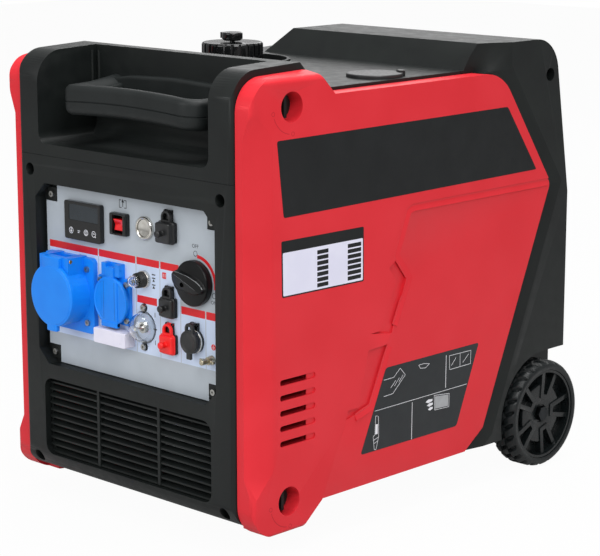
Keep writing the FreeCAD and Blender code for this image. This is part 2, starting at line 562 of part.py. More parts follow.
def frontFrame():
    profile = prism("frame_profile", "yz",
                    [("0", "frameTop"), ("0", "frameLow", "frameLowRound"),
                     ("frameDepth", "frameLow"), ("frameDepth", "frameTop")],
                    "-seamHalf", "seamHalf")
    plan = prism("frame_plan", "xy",
                 [("-seamHalf", "0", "frameEdge"), ("seamHalf", "0", "frameEdge"),
                  ("seamHalf", "frameDepth + 1"), ("-seamHalf", "frameDepth + 1")],
                 "frameLow - 1", "frameTop + 1")
    hollow = prism("frame_hollow", "yz",
                   [("wall", "frameTop - wall"),
                    ("wall", "frameLow + wall", "frameLowRound - wall"),
                    ("2*frameDepth", "frameLow + wall"), ("2*frameDepth", "frameTop - wall")],
                   "-seamHalf + wall", "seamHalf - wall")
    outer = common("frame_outer", [profile, plan])
    shell = cut("frame_shell", outer, [hollow])
    rim = "wall"
    tub = prism("frame_tub", "xz", octagon(f"windowHalf + {rim}", f"windowLow - {rim}",
                                           f"windowTop + {rim}", "windowCut"),
                "1", f"{plateBack} + wall")
    ductFront = common("frame_duct_front", [outer, prism(
        "frame_duct_block", "xz",
        [(f"{a}(grilleHalf + wall)", z, "grilleRound + wall")
         for a, z in (("-", "grilleLow - wall"), ("", "grilleLow - wall"),
                      ("", "grilleTop + wall"), ("-", "grilleTop + wall"))],
        "0", "grilleSeatY")])
    bosses = [rod(f"frame_boss_{i}", "y", "frameTuck", "frameDepth - 2", place, "frameBossR")
              for i, place in enumerate(frameHoles)]
    bossFronts = common("frame_boss_fronts", [outer, join("frame_boss_rods", [
        rod(f"frame_boss_front_{i}", "y", "0", "frameTuck + 1", place, "frameBossR")
        for i, place in enumerate(frameHoles)])])
    window = prism("frame_window", "xz", octagon("windowHalf", "windowLow", "windowTop",
                                                 "windowCut"), "-wall", plateBack)
    grille = prism("frame_grille_hole", "xz",
                   [(f"{a}grilleHalf", z, "grilleRound")
                    for a, z in (("-", "grilleLow"), ("", "grilleLow"),
                                 ("", "grilleTop"), ("-", "grilleTop"))],
                   "-wall", "grilleSeatY + wall")
    corners = [box(f"frame_corner_{i}", (f"{x} - bossHalf", f"{x} + bossHalf"),
                   ("plateFront - seatGap", f"{plateBack} + wall"),
                   (f"{z} - bossHalf", f"{z} + bossHalf"))
               for i, (x, z) in enumerate(plateCorners)]
    drills = []
    for i, place in enumerate(frameHoles):
        drills += [rod(f"frame_bore_{i}", "y", "-1", "frameHoleDeep", place, "frameHoleR"),
                   rod(f"frame_drill_{i}", "y", "0", "frameDepth", place,
                       "screwShankR + holeGap")]
    body = cut("frame_body", join("frame_solid", [shell, tub, ductFront, bossFronts] + bosses),
               [window, grille])
    node("front_frame", cut("front_frame", join("frame_bossed", [body] + corners),
                            drills + deviceCuts("frame_cut", "plateFront - 2*seatGap",
                                                f"{plateBack} + 2*wall")
                            + [rod("frame_knob_hole", "y", "plateFront", f"{plateBack} + 2*wall",
                                   ("knobX", "knobZ"), "knobShaftR + journalGap")]))


def intakeGrille():
    seat = "grilleSeatY"
    edge = [(f"{a}(grilleHalf + wall)", z, "grilleRound")
            for a, z in (("-", "grilleLow - wall"), ("", "grilleLow - wall"),
                         ("", "grilleTop + wall"), ("-", "grilleTop + wall"))]
    hole = [(f"{a}(grilleHalf - wall)", z, "grilleRound - wall")
            for a, z in (("-", "grilleLow + wall"), ("", "grilleLow + wall"),
                         ("", "grilleTop - wall"), ("-", "grilleTop - wall"))]
    rim = cut("grille_rim", prism("grille_plate", "xz", edge, seat, f"{seat} + wall"),
              [prism("grille_hole", "xz", hole, f"{seat} - 1", f"{seat} + 2*wall")])
    bars = []
    for i in range(int(sizes["louvreCount"])):
        z = f"(grilleLow + {i + 0.5}*louvrePitch)"
        bars.append(prism(f"grille_louvre_{i}", "yz",
                          [(f"{seat} + wall", z), (f"{seat} + wall", f"{z} + louvreThick"),
                           (f"{seat} + wall - louvreDeep", f"{z} + louvreThick - wall"),
                           (f"{seat} + wall - louvreDeep", f"{z} - wall")],
                          "-grilleHalf + wall - 1", "grilleHalf - wall + 1"))
    for i, side in enumerate(("", "-")):
        bars.append(box(f"grille_divider_{i}",
                        (f"{side}dividerX - dividerWide/2", f"{side}dividerX + dividerWide/2"),
                        (f"{seat} + wall - louvreDeep - 1", f"{seat} + wall"),
                        ("grilleLow + 1", "grilleTop - 1")))
    reach = prism("grille_reach", "xz",
                  [(f"{a}(grilleHalf - seatGap)", z, "grilleRound")
                   for a, z in (("-", "grilleLow + seatGap"), ("", "grilleLow + seatGap"),
                                ("", "grilleTop - seatGap"), ("-", "grilleTop - seatGap"))],
                  f"{seat} - louvreDeep", f"{seat} + wall")
    blades = common("grille_blades", [join("grille_bars", bars), reach])
    node("intake_grille", join("intake_grille", [rim, blades]))


def latchSlot(name, start, end, y, z):
    # the upright slot that a latch's bar passes when it is turned open
    return box(name, (start, end),
               (f"{y} - latchShaftR - holeGap", f"{y} + latchShaftR + holeGap"),
               (f"{z} - tongueHalf - holeGap", f"{z} + tongueHalf + holeGap"))


def handleCover():
    profile = prism("handle_profile", "yz",
                    [("0", "frameTop + seatGap"), ("0", "handleFrontTop", "rollRound"),
                     ("handleRear", "handleTop", "wall"), ("handleFoot", "topZ"),
                     ("handleFoot", "frameTop + seatGap")], "-seamHalf", "seamHalf")
    hollow = prism("handle_hollow", "yz",
                   [("wall", "frameTop - wall"), ("wall", "handleFrontTop - wall",
                                                  "rollRound - wall"),
                    ("handleRear - 1", "handleTop - wall"), ("handleFoot - wall", "topZ - 1"),
                    ("handleFoot - wall", "frameTop - wall")],
                   "-seamHalf + wall", "seamHalf - wall")

    def recess(name, grow, top):
        return prism(name, "xz",
                     [(f"-recessHalf - {grow}", f"recessFloor - {grow}", f"recessRound + {grow}"),
                      (f"recessHalf + {grow}", f"recessFloor - {grow}", f"recessRound + {grow}"),
                      (f"recessHalf + {grow}", top), (f"-recessHalf - {grow}", top)],
                     "-wall", f"recessBack + {grow}")

    cave = prism("handle_cave", "yz",
                 [("-wall", "recessFloor - wall"), ("recessBack + wall", "recessFloor - wall",
                                                    "recessFloorRound + wall"),
                  ("recessBack + wall", "handleTop + wall"), ("-wall", "handleTop + wall")],
                 "-seamHalf", "seamHalf")
    caveInner = prism("handle_cave_inner", "yz",
                      [("-wall", "recessFloor"), ("recessBack", "recessFloor",
                                                  "recessFloorRound"),
                       ("recessBack", "handleTop + wall"), ("-wall", "handleTop + wall")],
                      "-seamHalf", "seamHalf")
    tub = common("handle_tub", [recess("handle_tub_face", "wall", "handleTop + wall"), cave])
    room = common("handle_room", [recess("handle_room_face", "0", "handleTop + wall"), caveInner])
    plan = prism("handle_plan", "xy",
                 [("-seamHalf", "0", "frameEdge"), ("seamHalf", "0", "frameEdge"),
                  ("seamHalf", "handleFoot + 1"), ("-seamHalf", "handleFoot + 1")],
                 "frameTop", "handleTop + 1")
    shell = cut("handle_shell", common("handle_outer", [profile, plan]),
                [cut("handle_space", hollow, [tub])])
    holes = [latchSlot(f"handle_latch_slot_{i}", f"{side}seamHalf - wall - 1",
                       f"{side}seamHalf + wall + 1", "upperLatchY", "upperLatchZ")
             for i, side in enumerate(("", "-"))]
    node("handle_cover", cut("handle_cover", shell, [room] + holes))


def gripHalf(name, low, high, edge):
    # one moulded half of the grip: a flat loop whose arms end on the recess's back wall
    body = doc.addObject("PartDesign::Body", name)
    sketch = bodySketch(body, "xy", low)
    draw(sketch, [("-gripHalf", "recessBack"), ("-gripHalf", "gripFront", "gripCorner"),
                  ("gripHalf", "gripFront", "gripCorner"), ("gripHalf", "recessBack")])
    draw(sketch, [("-loopHalf", "loopRear", "loopCorner"),
                  ("-loopHalf", "gripFront + gripDeep", "loopCorner"),
                  ("loopHalf", "gripFront + gripDeep", "loopCorner"),
                  ("loopHalf", "loopRear", "loopCorner")])
    solid = pad(body, sketch, f"({high}) - ({low})")
    doc.recompute()
    level = number(edge)
    back = number("recessBack")
    edges = [f"Edge{place}" for place, line in enumerate(solid.Shape.Edges, start=1)
             if all(abs(end.Point.z - level) < 0.01 for end in line.Vertexes)
             and not all(abs(end.Point.y - back) < 0.01 for end in line.Vertexes)]
    soft = body.newObject("PartDesign::Fillet", name + "_soft")
    soft.Base = (solid, edges)
    bind(soft, "Radius", "gripRound - 2")
    node(name, body)


def topCover():
    spot = ("fuelX", "fuelY")
    outer = box("top_block", ("-seamHalf", "seamHalf"), ("handleFoot + seatGap", "topRear"),
                ("topSkirt", "topZ"))
    hollow = box("top_hollow", ("-seamHalf + wall", "seamHalf - wall"),
                 ("handleFoot - 1", "topRear + 1"), ("topSkirt - 1", "topZ - wall"))
    shell = cut("top_shell", outer, [hollow])
    cup = rod("top_cup", "z", "topZ - recessDeep - wall", "topZ + lipHigh", spot,
              "recessR + lipWide")
    room = rod("top_room", "z", "topZ - recessDeep", "topZ + 2*wall", spot, "recessR")
    neck = rod("top_neck_hole", "z", "topZ - recessDeep - 2*wall", "topZ", spot,
               "neckR + 2*holeGap")
    access = rod("top_access_hole", "z", "topZ - 2*wall", "topZ + wall", ("accessX", "accessY"),
                 "accessR")
    node("top_cover", cut("top_cover", join("top_solid", [shell, cup]), [room, neck, access]))
    body = doc.addObject("PartDesign::Body", "plug_access_cap")
    sketch = bodySketch(body, "xz")
    draw(sketch, [("0", "-accessPlug"), ("accessR - seatGap", "-accessPlug", "1"),
                  ("accessR - seatGap", "0"), ("accessFlangeR", "0"),
                  ("accessFlangeR", "accessCapHigh", "1.5"), ("0", "accessCapHigh")])
    revolved(body, sketch, "Z")
    tab = bodySketch(body, "xy", "0")
    draw(tab, [("accessFlangeR - 4", "-6"), ("accessFlangeR + accessTab - 4", "-6", "3"),
               ("accessFlangeR + accessTab - 4", "6", "3"), ("accessFlangeR - 4", "6")])
    pad(body, tab, "accessCapHigh + 2")
    body.Placement = FreeCAD.Placement(Vector(0, 0, 0), Rotation(directions["z"], 60))
    node("plug_access_cap", body, ("accessX", "accessY", "topZ"))


def fuelCap():
    body = doc.addObject("PartDesign::Body", "fuel_cap")
    sketch = bodySketch(body, "xz")
    top = "fuelCapHigh"
    draw(sketch, [("neckR + seatGap", "0"), ("fuelCapR", "0", "1"), ("fuelCapR", top, "3"),
                  ("ventPinR", top), ("ventPinR", f"{top} + ventBase + ventKnobHigh - 3"),
                  ("0", f"{top} + ventBase + ventKnobHigh - 3"), ("0", "fuelCapInner"),
                  ("neckR + seatGap", "fuelCapInner")])
    revolved(body, sketch, "Z")
    groove = bodySketch(body, "xy", f"{top} + 1")
    draw(groove, [("fuelCapR - fuelRibDeep", "-fuelRibWide/2"),
                  ("fuelCapR + 2", "-fuelRibWide/2"), ("fuelCapR + 2", "fuelRibWide/2"),
                  ("fuelCapR - fuelRibDeep", "fuelRibWide/2")])
    slot = pocket(body, groove, f"{top} - 3")
    polar(body, [slot], "Z", "fuelRibs")
    node("fuel_cap", body, ("fuelX", "fuelY", "fuelCapBase"))
    knob = doc.addObject("PartDesign::Body", "vent_knob")
    sketch = bodySketch(knob, "xz")
    draw(sketch, [("ventPinR + journalGap", "0"), ("ventKnobR - 2", "0"), ("ventKnobR", "2"),
                  ("ventKnobR", "ventKnobHigh", "2"), ("0", "ventKnobHigh"),
                  ("0", "ventKnobHigh - 3 + seatGap"),
                  ("ventPinR + journalGap", "ventKnobHigh - 3 + seatGap")])
    revolved(knob, sketch, "Z")
    tab = bodySketch(knob, "xy", "2")
    draw(tab, [("-ventKnobR - ventTabLong", "-ventTabWide/2", "2"),
               ("-ventKnobR + 2", "-ventTabWide/2"), ("-ventKnobR + 2", "ventTabWide/2"),
               ("-ventKnobR - ventTabLong", "ventTabWide/2", "2")])
    pad(knob, tab, "ventKnobHigh - 3")
    node("vent_knob", knob, ("fuelX", "fuelY", f"fuelCapBase + {top} + ventBase"))


def seamWedge(name, start, end, gap):
    # cutter for the lip along one straight run of the red cover's outline: it reaches from the
    # lip's low edge at the seam out to the side face, and covers all that lies before the seam
    (startY, startZ), (endY, endZ) = start, end
    lean = f"(({endY} - ({startY}))/({endZ} - ({startZ})))"
    foot = f"({startY} + {gap} - {startZ}*{lean})"
    rise = f"bevelWide*sqrt(1 + {lean}^2)*(bevelSide + 1)/bevelSide"
    sketch = doc.addObject("Sketcher::SketchObject", name + "_outline")
    draw(sketch, [("caseHalf - bevelSide", foot), ("caseHalf + 1", f"{foot} + {rise}"),
                  ("caseHalf + 1", f"{foot} - 3*rearY"),
                  ("caseHalf - bevelSide", f"{foot} - 3*rearY")])
    wedge = drawnOut(name, sketch, "z", f"humpTop*1.1*sqrt(1 + {lean}^2)")
    bind(wedge, "Dir.y", lean)
    return wedge


def rearCover():
    gap = "seamGap + seatGap"
    upper = prism("rear_upper", "yz",
                  [(f"skirtRearY + {gap}", "skirtZ"), (f"heelY + {gap}", "heelZ"),
                   (f"elbowY + {gap}", "elbowZ", "elbowRound"),
                   (f"shoulderY + {gap}", "beltZ + seamGap", "shoulderRound"),
                   ("topRear + seatGap", "beltZ + seamGap"), ("topRear + seatGap", "topZ"),
                   ("humpFootY", "topZ"), ("humpBrowY", "humpTop"),
                   ("humpRearY + humpRound", "humpTop", "humpRound"), ("rearY", "rearBendZ"),
                   ("rearY", "skirtZ")], "-caseHalf", "caseHalf")
    tail = box("rear_tail", ("-tailHalf", "tailHalf"), ("wheelY - wellR", "tailY"),
               ("skirtZ", "rearStepZ"))
    hollow = prism("rear_hollow", "yz",
                   [("skirtRearY - 9*wall", "skirtZ + wall"), ("rearY - wall", "skirtZ + wall"),
                    ("rearY - wall", "rearBendZ"),
                    ("humpRearY + humpRound - wall", "humpTop - wall", "humpRound - wall"),
                    ("humpBrowY + wall", "humpTop - wall"), ("humpFootY + wall", "topZ - wall"),
                    ("skirtRearY - 9*wall", "topZ - wall")],
                   "-caseHalf + bevelSide + wall", "caseHalf - bevelSide - wall")
    tailRoom = box("rear_tail_room", ("-tailHalf + wall", "tailHalf - wall"),
                   ("skirtRearY", "tailY - wall"), ("skirtZ + wall", "rearStepZ - wall"))

    def well(name, side, grow):
        inner, outer = f"tailHalf - {grow}", "caseHalf + wall"
        xs = (inner, outer) if side > 0 else (f"-({outer})", f"-({inner})")
        return join(name, [
            rod(name + "_arch", "x", xs[0], xs[1], ("wheelY", "wheelR"), f"wellR + {grow}"),
            box(name + "_rear", xs, (f"wheelY - {grow}", "tailY + wall"),
                ("-wall", f"rearStepZ + {grow}"))])

    def leftSlope(name, grow):
        return prism(name, "xz",
                     [("-caseHalf - wall", f"topZ - {grow}"),
                      (f"-humpLeftFoot + {grow}", f"topZ - {grow}"),
                      (f"-humpLeftBrow + {grow}", "humpTop"),
                      (f"-humpLeftBrow + {grow}", "humpTop + wall"),
                      ("-caseHalf - wall", "humpTop + wall")], "0", "tailY")

    def rightRibs(name, grow):
        return prism(name, "xy",
                     [(f"seamHalf - {grow}", "skirtRearY - wall"),
                      (f"seamHalf - {grow}", f"ribAY + {grow}"),
                      (f"ribBX - {grow}", f"ribBY + {grow}"), (f"caseHalf - {grow}", f"ribCY + {grow}"),
                      ("caseHalf + wall", f"ribCY + {grow}"), ("caseHalf + wall", "skirtRearY - wall")],
                     f"beltZ + seamGap - {grow}", "humpTop + wall")

    bevel = common("rear_bevel", [
        seamWedge("rear_bevel_low", ("skirtRearY", "skirtZ"), ("heelY", "heelZ"), gap),
        seamWedge("rear_bevel_back", ("heelY", "heelZ"), ("elbowY", "elbowZ"), gap),
        seamWedge("rear_bevel_high", ("elbowY", "elbowZ"), ("shoulderY", "beltZ"), gap),
        prism("rear_bevel_belt", "xz",
              [("caseHalf - bevelSide", "beltZ + seamGap"),
               ("caseHalf + 1", "beltZ + seamGap + bevelWide*(bevelSide + 1)/bevelSide"),
               ("caseHalf + 1", "0"), ("caseHalf - bevelSide", "0")], "0", "tailY")])
    outer = cut("rear_outer", join("rear_union", [upper, tail]),
                [well("rear_well_r", 1, "0"), well("rear_well_l", -1, "0"),
                 leftSlope("rear_slope", "0"), rightRibs("rear_ribs", "0"), bevel,
                 mirrored("rear_bevel_left", bevel)])
    space = cut("rear_space", join("rear_space_union", [hollow, tailRoom]),
                [well("rear_well_in_r", 1, "wall"), well("rear_well_in_l", -1, "wall"),
                 leftSlope("rear_slope_in", "wall"), rightRibs("rear_ribs_in", "wall")])
    openings = [rod("rear_exhaust_hole", "y", "rearY - 2*wall", "rearY + wall",
                    ("exhaustX", "exhaustZ"), "exhaustHoleR")]
    for i in range(int(sizes["rearSlots"])):
        low = f"(rearSlotLowZ + {i}*rearSlotPitch)"
        openings.append(box(f"rear_slot_{i}", ("-rearSlotHalf", "rearSlotHalf"),
                            ("rearY - 8*wall", "rearY + wall"), (low, f"{low} + rearSlotHigh")))
    for i, side in enumerate(("", "-")):
        openings.append(rod(f"rear_axle_hole_{i}", "x", f"{side}tailHalf - 2*wall",
                            f"{side}tailHalf + 2*wall", ("wheelY", "wheelR"), "axleR + seatGap"))
    spot = ("rearScrewY", "rearScrewZ")
    cup = rod("rear_cup", "x", "caseHalf - 7*wall", "caseHalf - 1", spot, "rearScrewR + wall")
    bore = rod("rear_cup_bore", "x", "caseHalf - 5*wall", "caseHalf + wall", spot, "rearScrewR")
    hole = rod("rear_cup_hole", "x", "caseHalf - 8*wall", "caseHalf", spot,
               "screwShankR + holeGap")
    drills = join("rear_drills", [bore, hole])
    solid = join("rear_tied", [cut("rear_shell", outer, [space]), cup,
                               mirrored("rear_cup_left", cup)])
    node("rear_cover", cut("rear_cover", solid,
                           openings + [drills, mirrored("rear_drills_left", drills)]))


def latches():
    for which, y, z, seat in latchPlaces:
        dialBack = f"({edge} + latchFloor)"
        dialFront = f"({dialBack} + latchDialThick)"
        behind = f"({seat} - wall - seatGap)"
        bladeTip = f"({dialFront} + latchBladeHigh)"
        pieces = [
            rod(f"latch_dial_{which}", "x", dialBack, dialFront, (y, z), "latchDialR"),
            rod(f"latch_shaft_{which}", "x", f"{behind} - tongueThick", dialFront, (y, z),
                "latchShaftR"),
            box(f"latch_blade_{which}", (dialFront, bladeTip),
                (f"{y} - latchBladeHalf", f"{y} + latchBladeHalf"),
                (f"{z} - latchDialR + 1", f"{z} + latchDialR - 1")),
            box(f"latch_bar_{which}", (f"{behind} - tongueThick", behind),
                (f"{y} - tongueHalf", f"{y} + tongueHalf"),
                (f"{z} - tongueTall", f"{z} + tongueTall"))]
        right = node(f"latch_{which}_right", join(f"latch_{which}_right", pieces))
        node(f"latch_{which}_left", mirrored(f"latch_{which}_left", right), moved=False)


def baseTray():
    low, high = "trayZ", "(trayZ + trayThick)"
    half = "(wrapHalf - seatGap)"
    noseHalf = "(frameHoleX - frameBossR - 2*wall)"
    floor = [box("tray_floor", (f"-{half}", half),
                 ("frameDepth + seatGap", "skirtRearY + seamGap"), (low, high)),
             box("tray_nose", (f"-{noseHalf}", noseHalf), ("trayFront", "frameDepth + wall"),
                 (low, high)),
             box("tray_lip", (f"-{noseHalf}", noseHalf),
                 ("trayFront", "trayFront + trayThick"), ("frameLow + 2*wall - seatGap", high))]
    slots = []
    for i, side in enumerate(("", "-")):
        near, face = f"{side}({half} - wall)", f"{side}(lugX + lugThick)"
        xs = (near, face) if not side else (face, near)
        lug = f"{side}lugX"
        plate = (lug, face) if not side else (face, lug)
        front, rear = "(lowerLatchY - lugHalf)", "(lowerLatchY + lugHalf)"
        floor += [box(f"tray_arm_front_{i}", xs, (front, f"{front} + lugArm"), (low, high)),
                  box(f"tray_arm_rear_{i}", xs, (f"{rear} - lugArm", rear), (low, high)),
                  box(f"tray_lug_{i}", plate, (front, rear), (low, "lugTop")),
                  rod(f"tray_boss_{i}", "z", "footHigh", "trayZ + 1", (f"{side}footX", "footY"),
                      "trayBossR")]
        slots += [latchSlot(f"tray_latch_slot_{i}", f"{plate[0]} - 1", f"{plate[1]} + 1",
                            "lowerLatchY", "lowerLatchZ"),
                  rod(f"tray_stud_hole_{i}", "z", "footHigh - 1", f"{high} + 1",
                      (f"{side}footX", "footY"), "footStudR + seatGap")]
    node("base_tray", cut("base_tray", join("tray_whole", floor), slots))
    feet = []
    for i, side in enumerate(("", "-")):
        spot = (f"{side}footX", "footY")
        feet.append(join(f"foot_{i}", [
            taper(f"foot_pad_{i}", "z", "0", "footHigh", spot, "footR", "footTopR"),
            rod(f"foot_stud_{i}", "z", "footHigh - 1", "trayZ", spot, "footStudR")]))
    group("rubber_feet", feet)


# ---- control plate -------------------------------------------------------------------------

def controlPlate():
    half, low, high = "plateHalf", "plateLow", "plateTop"
    inX, inZ = f"({half} - notchWide)", "notchHigh"
    outline = [(f"-{inX}", low), (inX, low), (inX, f"{low} + {inZ}"), (half, f"{low} + {inZ}"),
               (half, f"{high} - {inZ}"), (inX, f"{high} - {inZ}"), (inX, high),
               (f"-{inX}", high), (f"-{inX}", f"{high} - {inZ}"), (f"-{half}", f"{high} - {inZ}"),
               (f"-{half}", f"{low} + {inZ}"), (f"-{inX}", f"{low} + {inZ}")]
    knobHole = rod("plate_knob_hole", "y", "plateFront - 1", f"{plateBack} + 1",
                   ("knobX", "knobZ"), "knobShaftR + holeGap")
    node("control_plate", cut("control_plate", prism("plate_sheet", "xz", outline, "plateFront",
                                                     plateBack),
                              deviceCuts("plate_cut", "plateFront - 1", f"{plateBack} + 1")
                              + [knobHole]))


def plateBlock(name, x, z, half, tall, corner, front, back):
    return prism(name, "xz", rectangle(x, z, half, tall, corner), front, back)


def spun(name, axis, points):
    # a body turned about its own axis; points are (radius, distance along the axis[, round])
    body = doc.addObject("PartDesign::Body", name)
    sketch = bodySketch(body, "xz" if axis == "z" else "xy")
    draw(sketch, [(point[1], point[0], *point[2:]) for point in points] if axis == "x"
         else points)
    revolved(body, sketch, axis.upper())
    return body


def displayUnit():
    bezel = plateBlock("display_bezel", "screenX", "screenZ", "screenHalf", "screenTall",
                       "screenRound", "screenFront", "plateFront")
    body = plateBlock("display_body", "screenX", "screenZ", "screenHalf - 2*wall",
                      "screenTall - 2*wall", "1", "plateFront - 1", "screenBack")
    glass = plateBlock("display_glass", "screenX + 2", "screenZ + 9", "screenHalf - 5.5",
                       "screenTall/2 - 2", "1", "screenFront - 1", "screenFront + 1")
    node("display_unit", cut("display_unit", join("display_whole", [bezel, body]), [glass]))


def rockerSwitch():
    body = join("rocker_whole", [
        plateBlock("rocker_bezel", "rockerX", "rockerZ", "rockerHalf", "rockerTall", "2",
                   "rockerFront", "plateFront"),
        plateBlock("rocker_body", "rockerX", "rockerZ", "rockerBodyHalf", "rockerWellTall + 1",
                   "1", "plateFront - 1", "rockerBack")])
    well = plateBlock("rocker_well", "rockerX", "rockerZ", "rockerWellHalf", "rockerWellTall",
                      "1", "rockerFront - 1", "rockerWellDeep")
    hole = rod("rocker_pin_hole", "x", "rockerX - rockerBodyHalf - 1",
               "rockerX + rockerBodyHalf + 1", ("rockerAxisY", "rockerZ"),
               "keyPinR + journalGap")
    node("rocker_housing", cut("rocker_housing", body, [well, hole]))
    key = join("rocker_key", [
        prism("key_block", "yz",
              [("-keyTip", "-keyTall", "0.8"), ("keyBack", "-keyTall + 2.5", "1"),
               ("keyBack", "keyTall - 2.5", "1"), ("-keyTip", "keyTall", "0.8"),
               ("-keyMiddle", "0")], "-keyHalf", "keyHalf"),
        rod("key_pin", "x", "-keyHalf - keyPinLong", "keyHalf + keyPinLong", ("0", "0"),
            "keyPinR")])
    key.Placement = FreeCAD.Placement(Vector(0, 0, 0), Rotation(directions["x"],
                                                                sizes["keyTilt"]))
    node("rocker_key", key, ("rockerX", "rockerAxisY", "rockerZ"))


def startButton():
    node("start_button_bezel", spun("start_button_bezel", "y", [
        ("startBoreR", "startFront"), ("startBezelR - 1.5", "startFront"),
        ("startBezelR", "startFront + 1"), ("startBezelR", "plateFront"),
        ("startThreadR", "plateFront"), ("startThreadR", "startBack"), ("0", "startBack"),
        ("0", "startBack - wall"), ("startBoreR", "startBack - wall")]),
         ("startX", "0", "startZ"))
    node("start_button", spun("start_button", "y", [
        ("0", "startButtonFront"), ("startBoreR - journalGap", "startButtonFront", "0.8"),
        ("startBoreR - journalGap", "startButtonFront + startButtonLong"),
        ("0", "startButtonFront + startButtonLong")]), ("startX", "0", "startZ"))


def strapEars(name, x, z, axisZ):
    # a tongue of the socket's face plate with two ears that hold a cap's strap pin
    parts = [box(f"{name}_tongue", (f"{x} - earOuter", f"{x} + earOuter"),
                 ("faceY", "plateFront"), (z, f"{axisZ} - earFoot + 1"))]
    holes = []
    for i, side in enumerate("+-"):
        ends = sorted((f"{x} {side} earInner", f"{x} {side} earOuter"), key=number)
        parts += [rod(f"{name}_eye_{i}", "x", *ends, ("strapAxisY", axisZ), "earR"),
                  box(f"{name}_ear_{i}", ends, ("strapAxisY", "plateFront"),
                      (f"{axisZ} - earFoot", f"{axisZ} + earR"))]
    holes.append(rod(f"{name}_pin_hole", "x", f"{x} - earOuter - 1", f"{x} + earOuter + 1",
                     ("strapAxisY", axisZ), "strapPinR + journalGap"))
    return parts, holes


def strapPin(name, x, axisZ, front):
    # the strap's knuckle with its pin, and the web that ties it to the cap in front
    return [rod(f"{name}_knuckle", "x", f"{x} - strapKnuckleHalf", f"{x} + strapKnuckleHalf",
                ("strapAxisY", axisZ), "strapKnuckleR"),
            rod(f"{name}_pin", "x", f"{x} - earOuter + 0.4", f"{x} + earOuter - 0.4",
                ("strapAxisY", axisZ), "strapPinR"),
            box(f"{name}_web", (f"{x} - strapKnuckleHalf", f"{x} + strapKnuckleHalf"),
                (front, "strapAxisY"),
                (f"{axisZ} - strapKnuckleR", f"{axisZ} + loopHigh - strapAxisUp"))]


def squareCap(label, x, z, half, front):
    # a rubber cap with a pull knob, hung from a loop above it
    axisZ = f"({z} + {half} + strapAxisUp)"
    top = f"({z} + {half} + loopHigh)"
    block = [plateBlock(f"{label}_block", x, z, half, half, "capCorner", front,
                        "faceY - capGap"),
             rod(f"{label}_pull", "y", f"({front}) - pullLong", f"({front}) + 1", (x, z), "pullR"),
             box(f"{label}_loop", (f"{x} - loopHalfWide", f"{x} + loopHalfWide"),
                 ("loopFront", "loopBack"), (f"{z} + {half} - 1", top))]
    block += strapPin(label, x, axisZ, "loopFront")
    hole = box(f"{label}_loop_hole", (f"{x} - loopHoleHalf", f"{x} + loopHoleHalf"),
               ("loopFront - 1", "loopBack + 1"),
               (f"{z} + {half} + 1.5", f"{axisZ} - strapKnuckleR - 1.2"))
    node(label, cut(label, join(f"{label}_whole", block), [hole]))


def smallSockets():
    ears, holes = strapEars("dc", "dcX", "dcZ + dcFaceHalf - 1", "(dcZ + dcHalf + strapAxisUp)")
    solid = [plateBlock("dc_face", "dcX", "dcZ", "dcFaceHalf", "dcFaceHalf", "2", "faceY",
                        "plateFront"),
             plateBlock("dc_body", "dcX", "dcZ", "dcBodyHalf", "dcBodyHalf", "1",
                        "plateFront - 1", "dcBack")] + ears
    well = plateBlock("dc_well", "dcX", "dcZ", "dcWellHalf", "dcWellHalf", "1", "faceY - 1",
                      "dcWellEnd")
    node("dc_socket", cut("dc_socket", join("dc_whole", solid), [well] + holes))
    squareCap("dc_socket_cap", "dcX", "dcZ", "dcHalf", "dcCapFront")
    pair = []
    for which, z in (("black", "blackZ"), ("red", "redZ")):
        ears, holes = strapEars(which, "terminalX", f"{z} + terminalHalf - 2",
                                f"({z} + terminalHalf + strapAxisUp)")
        solid = [plateBlock(f"{which}_face", "terminalX", z, "terminalHalf - 0.5",
                            "terminalHalf - 0.5", "2", "faceY", "plateFront"),
                 rod(f"{which}_body", "y", "plateFront - 1", "terminalBack", ("terminalX", z),
                     "terminalR - 1")] + ears
        bore = rod(f"{which}_bore", "y", "faceY - 1", "terminalBoreEnd", ("terminalX", z),
                   "terminalBoreR")
        pair.append(cut(f"{which}_terminal", join(f"{which}_whole", solid), [bore] + holes))
        squareCap(f"{which}_socket_cap", "terminalX", z, "terminalHalf", "terminalCapFront")
    group("parallel_terminals", pair)


def auxSocket():
    spot = ("auxX", "auxZ")
    axisZ = "(auxZ + auxStrapUp)"
    ears, holes = strapEars("aux", "auxX", "auxZ + auxBodyR", axisZ)
    solid = [rod("aux_ring", "y", "auxFront", "plateFront", spot, "auxR"),
             rod("aux_body", "y", "plateFront - 1", "auxBack", spot, "auxBodyR")] + ears
    bore = rod("aux_bore", "y", "auxFront - 1", "auxBoreEnd", spot, "auxBoreR")
    node("aux_socket", cut("aux_socket", join("aux_whole", solid), [bore] + holes))
    back = "(auxFront - capGap)"
    cap = [rod("aux_cap_disc", "y", "auxCapFront", back, spot, "auxCapR"),
           box("aux_cap_strap", ("auxX - auxStrapHalf", "auxX + auxStrapHalf"),
               ("auxCapFront + 0.6", back),
               ("auxZ + auxBodyR", f"{axisZ} + loopHigh - strapAxisUp")),
           box("aux_cap_tab", ("auxX - 2*auxStrapHalf", "auxX + 2*auxStrapHalf"),
               ("auxCapFront + 0.6", back), ("auxZ - auxTabLow", "auxZ - auxBodyR"))]
    node("aux_socket_cap", join("aux_socket_cap", cap + strapPin("aux_cap", "auxX", axisZ,
                                                                 "auxCapFront + 0.6")))


